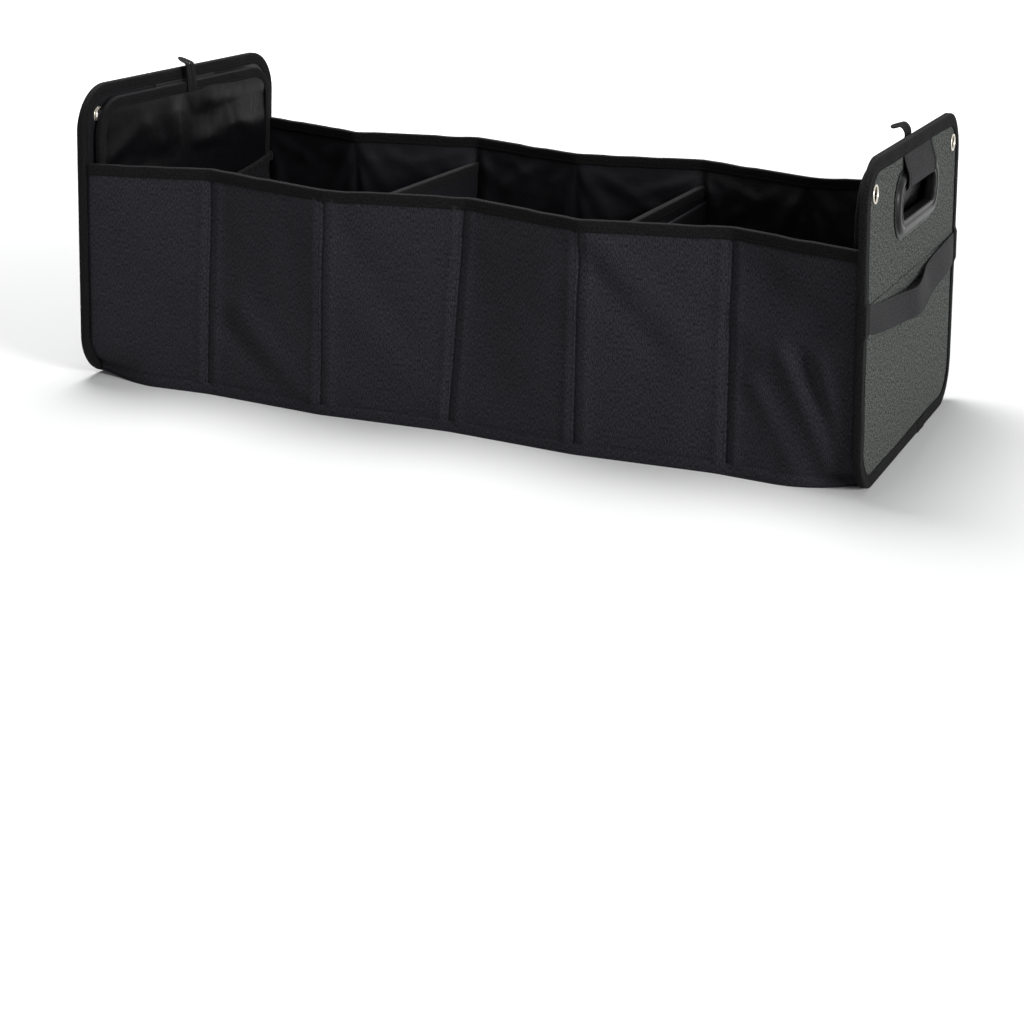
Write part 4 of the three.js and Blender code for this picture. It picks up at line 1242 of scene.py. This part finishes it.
net_close(net_open.outputs[0], net_in["Material"])

net_yarn = Finish("black_mesh", (0.014, 0.014, 0.016), 0.6, 0.2)
net_yarn.bump(net_yarn.grain(1500, (1, 1, 1), 2.0, cloth=False), 0.00015, 0.6)
mesh_foot, mesh_face, mesh_rise, mesh_half = 0.0015, -0.0106, 0.170, 0.150
mesh_sag, mesh_belly, yarn_thickness, elastic_width = 0.014, 0.009, 0.0004, 0.007
mesh_reach = panel_centre + mesh_face - 0.0008


def mesh_top(share):
    """How high the mesh's sagging top edge is, from -1 to 1 across."""
    return mesh_rise - mesh_sag * (1 - share ** 2)


def on_mesh(end, share, up, off=0.0):
    """A point of a mesh pocket: from -1 to 1 across, up, and off it towards the room."""
    half = np.abs(wall_point(mesh_reach + 0 * up, up, -1, 0.0046)[..., 1])
    out = mesh_face - mesh_belly * (1 - share ** 2) * np.maximum(up / mesh_rise, 0) ** 2
    return panel_point(end, share * half, up, out - off)


net_cell, net_open_share = 0.0042, 0.66
wide, tall = 0.36, mesh_rise
columns, rows = int(wide / net_cell) + 1, int(tall / (net_cell * 0.866)) + 1
for end, name in ends:
    net = bpy.data.objects.new(f"{name}_mesh_net", bpy.data.meshes.new(f"{name}_mesh_net"))
    bpy.context.collection.objects.link(net)
    run_tree(net, net_tree, Width=wide, Height=tall, Columns=columns, Rows=rows,
             Material=net_yarn.material, **{"Open share": net_open_share})
    # Each row is moved half a cell, and what is past the sides is folded onto them and left out
    flat = np.array([v.co for v in net.data.vertices])
    slanted = flat[:, 0] + 0.5 * net_cell * flat[:, 1] / (tall / (rows - 1))
    share = np.clip(slanted / mesh_half, -1, 1)
    up = mesh_foot + np.clip(flat[:, 1] / tall + 0.5, 0, 1) * (mesh_top(share) - 0.002 - mesh_foot)
    knit = on_mesh(end, share, up)
    outside = np.abs(slanted) > mesh_half + 0.0015
    kept = [list(p.vertices) for p in net.data.polygons if not all(outside[i] for i in p.vertices)]
    bpy.data.objects.remove(net)
    net = mesh_piece(f"{name}_mesh_net", knit, kept, net_yarn.material)
    give_thickness(net, yarn_thickness)
    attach(net, "root")
    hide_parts(f"{name}_mesh_pocket")

    def on_elastic(u, inwards, height):
        share = (mesh_half - u) / mesh_half
        gather = 0.0005 * np.sin(u * 640 + 2 * np.sin(u * 90))
        gather = gather * (0.4 + 0.6 * np.clip(-height / elastic_width, 0, 1))
        return on_mesh(end, share, mesh_top(share) + height, inwards + gather)

    elastic = ribbed_tape(f"{name}_mesh_elastic", 2 * mesh_half,
                          over_edge(-elastic_width, 0.0, 0.0021, -edge_tape_room)[::-1], on_elastic,
                          thickness=0.0008, pitch=0.0012)
    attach(elastic, "root")
    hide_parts(f"{name}_mesh_pocket_binding")


# CLOSING STRAP
# Black woven webbing across the right end panel, longer than the panel is wide and caught in its
# tape at both edges, so it hangs slack in ripples that stand off most near the back.
webbing = Finish("black_webbing", (0.020, 0.020, 0.022), 0.75, 0.12, sheen=0.03)
strap_place = webbing.node("ShaderNodeSeparateXYZ", {0: webbing.place()})
strap_diagonal = webbing.math("ADD", strap_place.outputs[0], strap_place.outputs[1])
twill = webbing.math("SINE", webbing.math("MULTIPLY", strap_diagonal, 2 * math.pi / 0.0021))
strap_tone = webbing.math("MULTIPLY", twill, 0.14)
strap_tone = webbing.math("ADD", strap_tone, webbing.grain(900, (0.4, 1, 1)))
webbing.tint(strap_tone, (0.005, 0.005, 0.006), (0.030, 0.030, 0.032), 0.38, 0.62)
webbing.bump(webbing.weave(0.0024, 0.0018), 0.00045, 1.0)
strap_wide, strap_half, strap_thickness = 0.0122, panel_half - 0.0060, 0.0013
# (share along it from its middle, then in mm: off the board's middle, hanging down, and how much
# further out its upper edge is)
strap_shape = smooth_path([
    (-1.03, 4.4, 0, 0), (-0.97, 4.7, 0.4, 0), (-0.8, 6.6, 4.3, -1.2), (-0.6, 8.0, 7.2, -1.9),
    (-0.4, 11.0, 9.0, -1.7), (-0.2, 16.0, 9.8, -1.3), (0.0, 14.4, 8.3, -2.0), (0.2, 10.5, 5.4, -2.8),
    (0.4, 9.4, 2.8, -3.3), (0.6, 9.3, 0.9, -3.1), (0.8, 7.9, -0.1, -2.2), (0.97, 4.8, -0.3, -0.4),
    (1.03, 4.4, -0.3, 0)], 8)


def on_strap(u, v):
    """A point of the strap: along it from its middle, and up across its width."""
    along, row = u / between_tapes, v / strap_wide
    off, sag, tilt = (np.interp(along, strap_shape[:, 0], column) / 1000
                      for column in strap_shape[:, 1:].T)
    # Its woven edges are a little thinner, with a fine groove beside them
    edge = 0.0003 * np.clip((np.abs(row) - 0.90) / 0.10, 0, 1) ** 2
    groove = 0.0004 * np.exp(-(((np.abs(row) - 0.82) / 0.05) ** 2))
    return panel_point(1, u, strap_middle + v - sag, off + tilt * row - (edge + groove))


strap = cloth_sheet("right_closing_strap_webbing", np.linspace(-strap_half, strap_half, 190),
                    np.linspace(-strap_wide, strap_wide, 33), on_strap, strap_thickness,
                    webbing.material)
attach(strap, "root")
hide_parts("right_closing_strap")


# STITCHES
# Black polyester lockstitch, about seven stitches to an inch: along every tape, at the seams and
# the hem of the walls, round the moulding's flange, and boxed at the foot of the pull loops.
sew_tree, sew_in, sew_add, sew_close = new_tree("sewing", ("Pitch", "Float"), ("Stitch", "Float"),
                                                ("Thread", "Float"), ("Material", "Material"))
sew_curve = sew_add("GeometryNodeMeshToCurve", {0: sew_in["Geometry"]})
sew_places = sew_add("GeometryNodeCurveToPoints",
                     {"Curve": sew_curve.outputs[0], "Length": sew_in["Pitch"]}, mode="LENGTH")
sew_turn = sew_add("FunctionNodeAlignRotationToVector", {"Vector": sew_places.outputs["Tangent"]},
                   axis="Z")
sew_size = sew_add("ShaderNodeCombineXYZ",
                   {0: sew_in["Thread"], 1: sew_in["Thread"], 2: sew_in["Stitch"]})
sew_bead = sew_add("GeometryNodeMeshUVSphere", {"Segments": 5, "Rings": 4, "Radius": 1.0})
sew_thread = sew_add("GeometryNodeTransform",
                     {"Geometry": sew_bead.outputs[0], "Scale": sew_size.outputs[0]})
sew_row = sew_add("GeometryNodeInstanceOnPoints", {"Points": sew_places.outputs[0],
                                                   "Instance": sew_thread.outputs[0],
                                                   "Rotation": sew_turn.outputs[0]})
sew_close(sew_row.outputs[0], sew_in["Material"])
thread = Finish("black_thread", (0.010, 0.010, 0.0115), 0.6, 0.12)
thread.bump(thread.grain(3000, (1, 1, 1), 2.0, cloth=False), 0.0001, 0.5)
# A bead's half length as a share of the pitch, and how far rows lie off the cloth
stitch_share, above = 0.42, 0.0001


def sew(name, lines, pitch=0.0037, thread_size=0.00028):
    """Stitches along lines of points, as one piece."""
    points, edges = [], []
    for line in lines:
        start = len(points)
        points += [tuple(p) for p in line]
        edges += [(start + i, start + i + 1) for i in range(len(line) - 1)]
    mesh = bpy.data.meshes.new(name)
    mesh.from_pydata(points, edges, [])
    piece = bpy.data.objects.new(name, mesh)
    bpy.context.collection.objects.link(piece)
    run_tree(piece, sew_tree, Pitch=pitch, Stitch=pitch * stitch_share, Thread=thread_size,
             Material=thread.material)
    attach(piece, "root")
    return piece


# Rows on the walls: beside the seams, above the hem and on the top tape
seam_row, hem_row, top_row = 0.0024, 0.0122, 0.1975
run = np.linspace(-wall_end + 0.002, wall_end - 0.002, 500)
rise = np.linspace(0.011, 0.194, 60)
for side, name in walls:
    lines = []
    for crease in creases:
        for off in (-seam_row, seam_row):
            even = crease * section + off + 0 * rise
            lines.append(wall_point(even, rise, side, -canvas_relief(even, rise, side) - above))
            lines.append(wall_point(even, rise, side, lining_in - 2 * above))
    at_hem, at_top = hem_row + 0 * run, top_row + 0 * run
    lines.append(wall_point(run, at_hem, side, -canvas_relief(run, at_hem, side) - above))
    lines.append(wall_point(run, at_top, side, -edge_tape_room - above))
    lines.append(wall_point(run, at_top, side, wall_stack + above))
    sew(f"{name}_wall_stitches", lines)

divider_row, beside_divider = 0.1722, 0.0034
run = np.linspace(-divider_half + 0.003, divider_half - 0.003, 8)
for name in ("left", "right"):
    sew(f"{name}_divider_stitches",
        [settle(divider_x(name) + off + 0 * run, run, divider_row + 0 * run)
         for off in (-beside_divider, beside_divider)])


def inside_outline(end, outline, inwards, out, steps):
    """A line on an end panel that follows a round outline, this far in from it."""
    x, y, ox, oy = round_path(np.linspace(0, round_length(*outline), steps), *outline)
    return panel_point(end, x - ox * inwards, y - oy * inwards, out + 0 * x)


# Rows on the end panels: in from the tapes' edges, out on the flange, on the lap and on the wrap
panel_row, board_row, flange_row, lap_row, wrap_row = 0.0088, 0.0080, 0.0146, 0.1482, 0.0468
tack_rows, tack_face, board_tape_face = (0.2532, 0.2542, 0.2552), -0.0137, -0.0109
elastic_row, elastic_face = 0.0052, 0.0023
lap_run = np.linspace(-0.163, 0.163, 12)
wrap_rise = np.linspace(0, wrap_v[9], 24)
tack_run = np.linspace(-0.0085, 0.0085, 9)
elastic_share = np.linspace(-0.98, 0.98, 60)
for end, name in ends:
    lines = [inside_outline(end, panel_outline, panel_row, panel_tape_out + above, 700),
             inside_outline(end, panel_outline, panel_row, panel_tape_in - above, 700),
             panel_point(end, lap_run, lap_row + 0 * lap_run, panel_tape_out + 0 * lap_run)]
    for place in (-wrap_row, wrap_row):
        lines.append(on_wrap(place + 0 * wrap_rise, wrap_rise) + np.array([end * above, 0, 0]))
    lines.append(inside_outline(end, hole_outline, -flange_row, panel_tape_out + above, 240))
    sew(f"{name}_panel_stitches", lines)

    lines = [inside_outline(end, board_outline, board_row, board_tape_face, 600)]
    for row in tack_rows:
        lines.append(panel_point(end, tack_run, row + 0 * tack_run, tack_face + 0 * tack_run))
    lines.append(on_mesh(end, elastic_share, mesh_top(elastic_share) - elastic_row, elastic_face))
    sew(f"{name}_board_stitches", lines, pitch=0.0030, thread_size=0.00025)

strap_row = 0.1615
rise = np.linspace(-0.011, 0.011, 5)
sew("strap_stitches", [on_strap(place + 0 * rise, rise) + np.array([above, 0, 0])
                       for place in (-strap_row, strap_row)], pitch=0.0030)
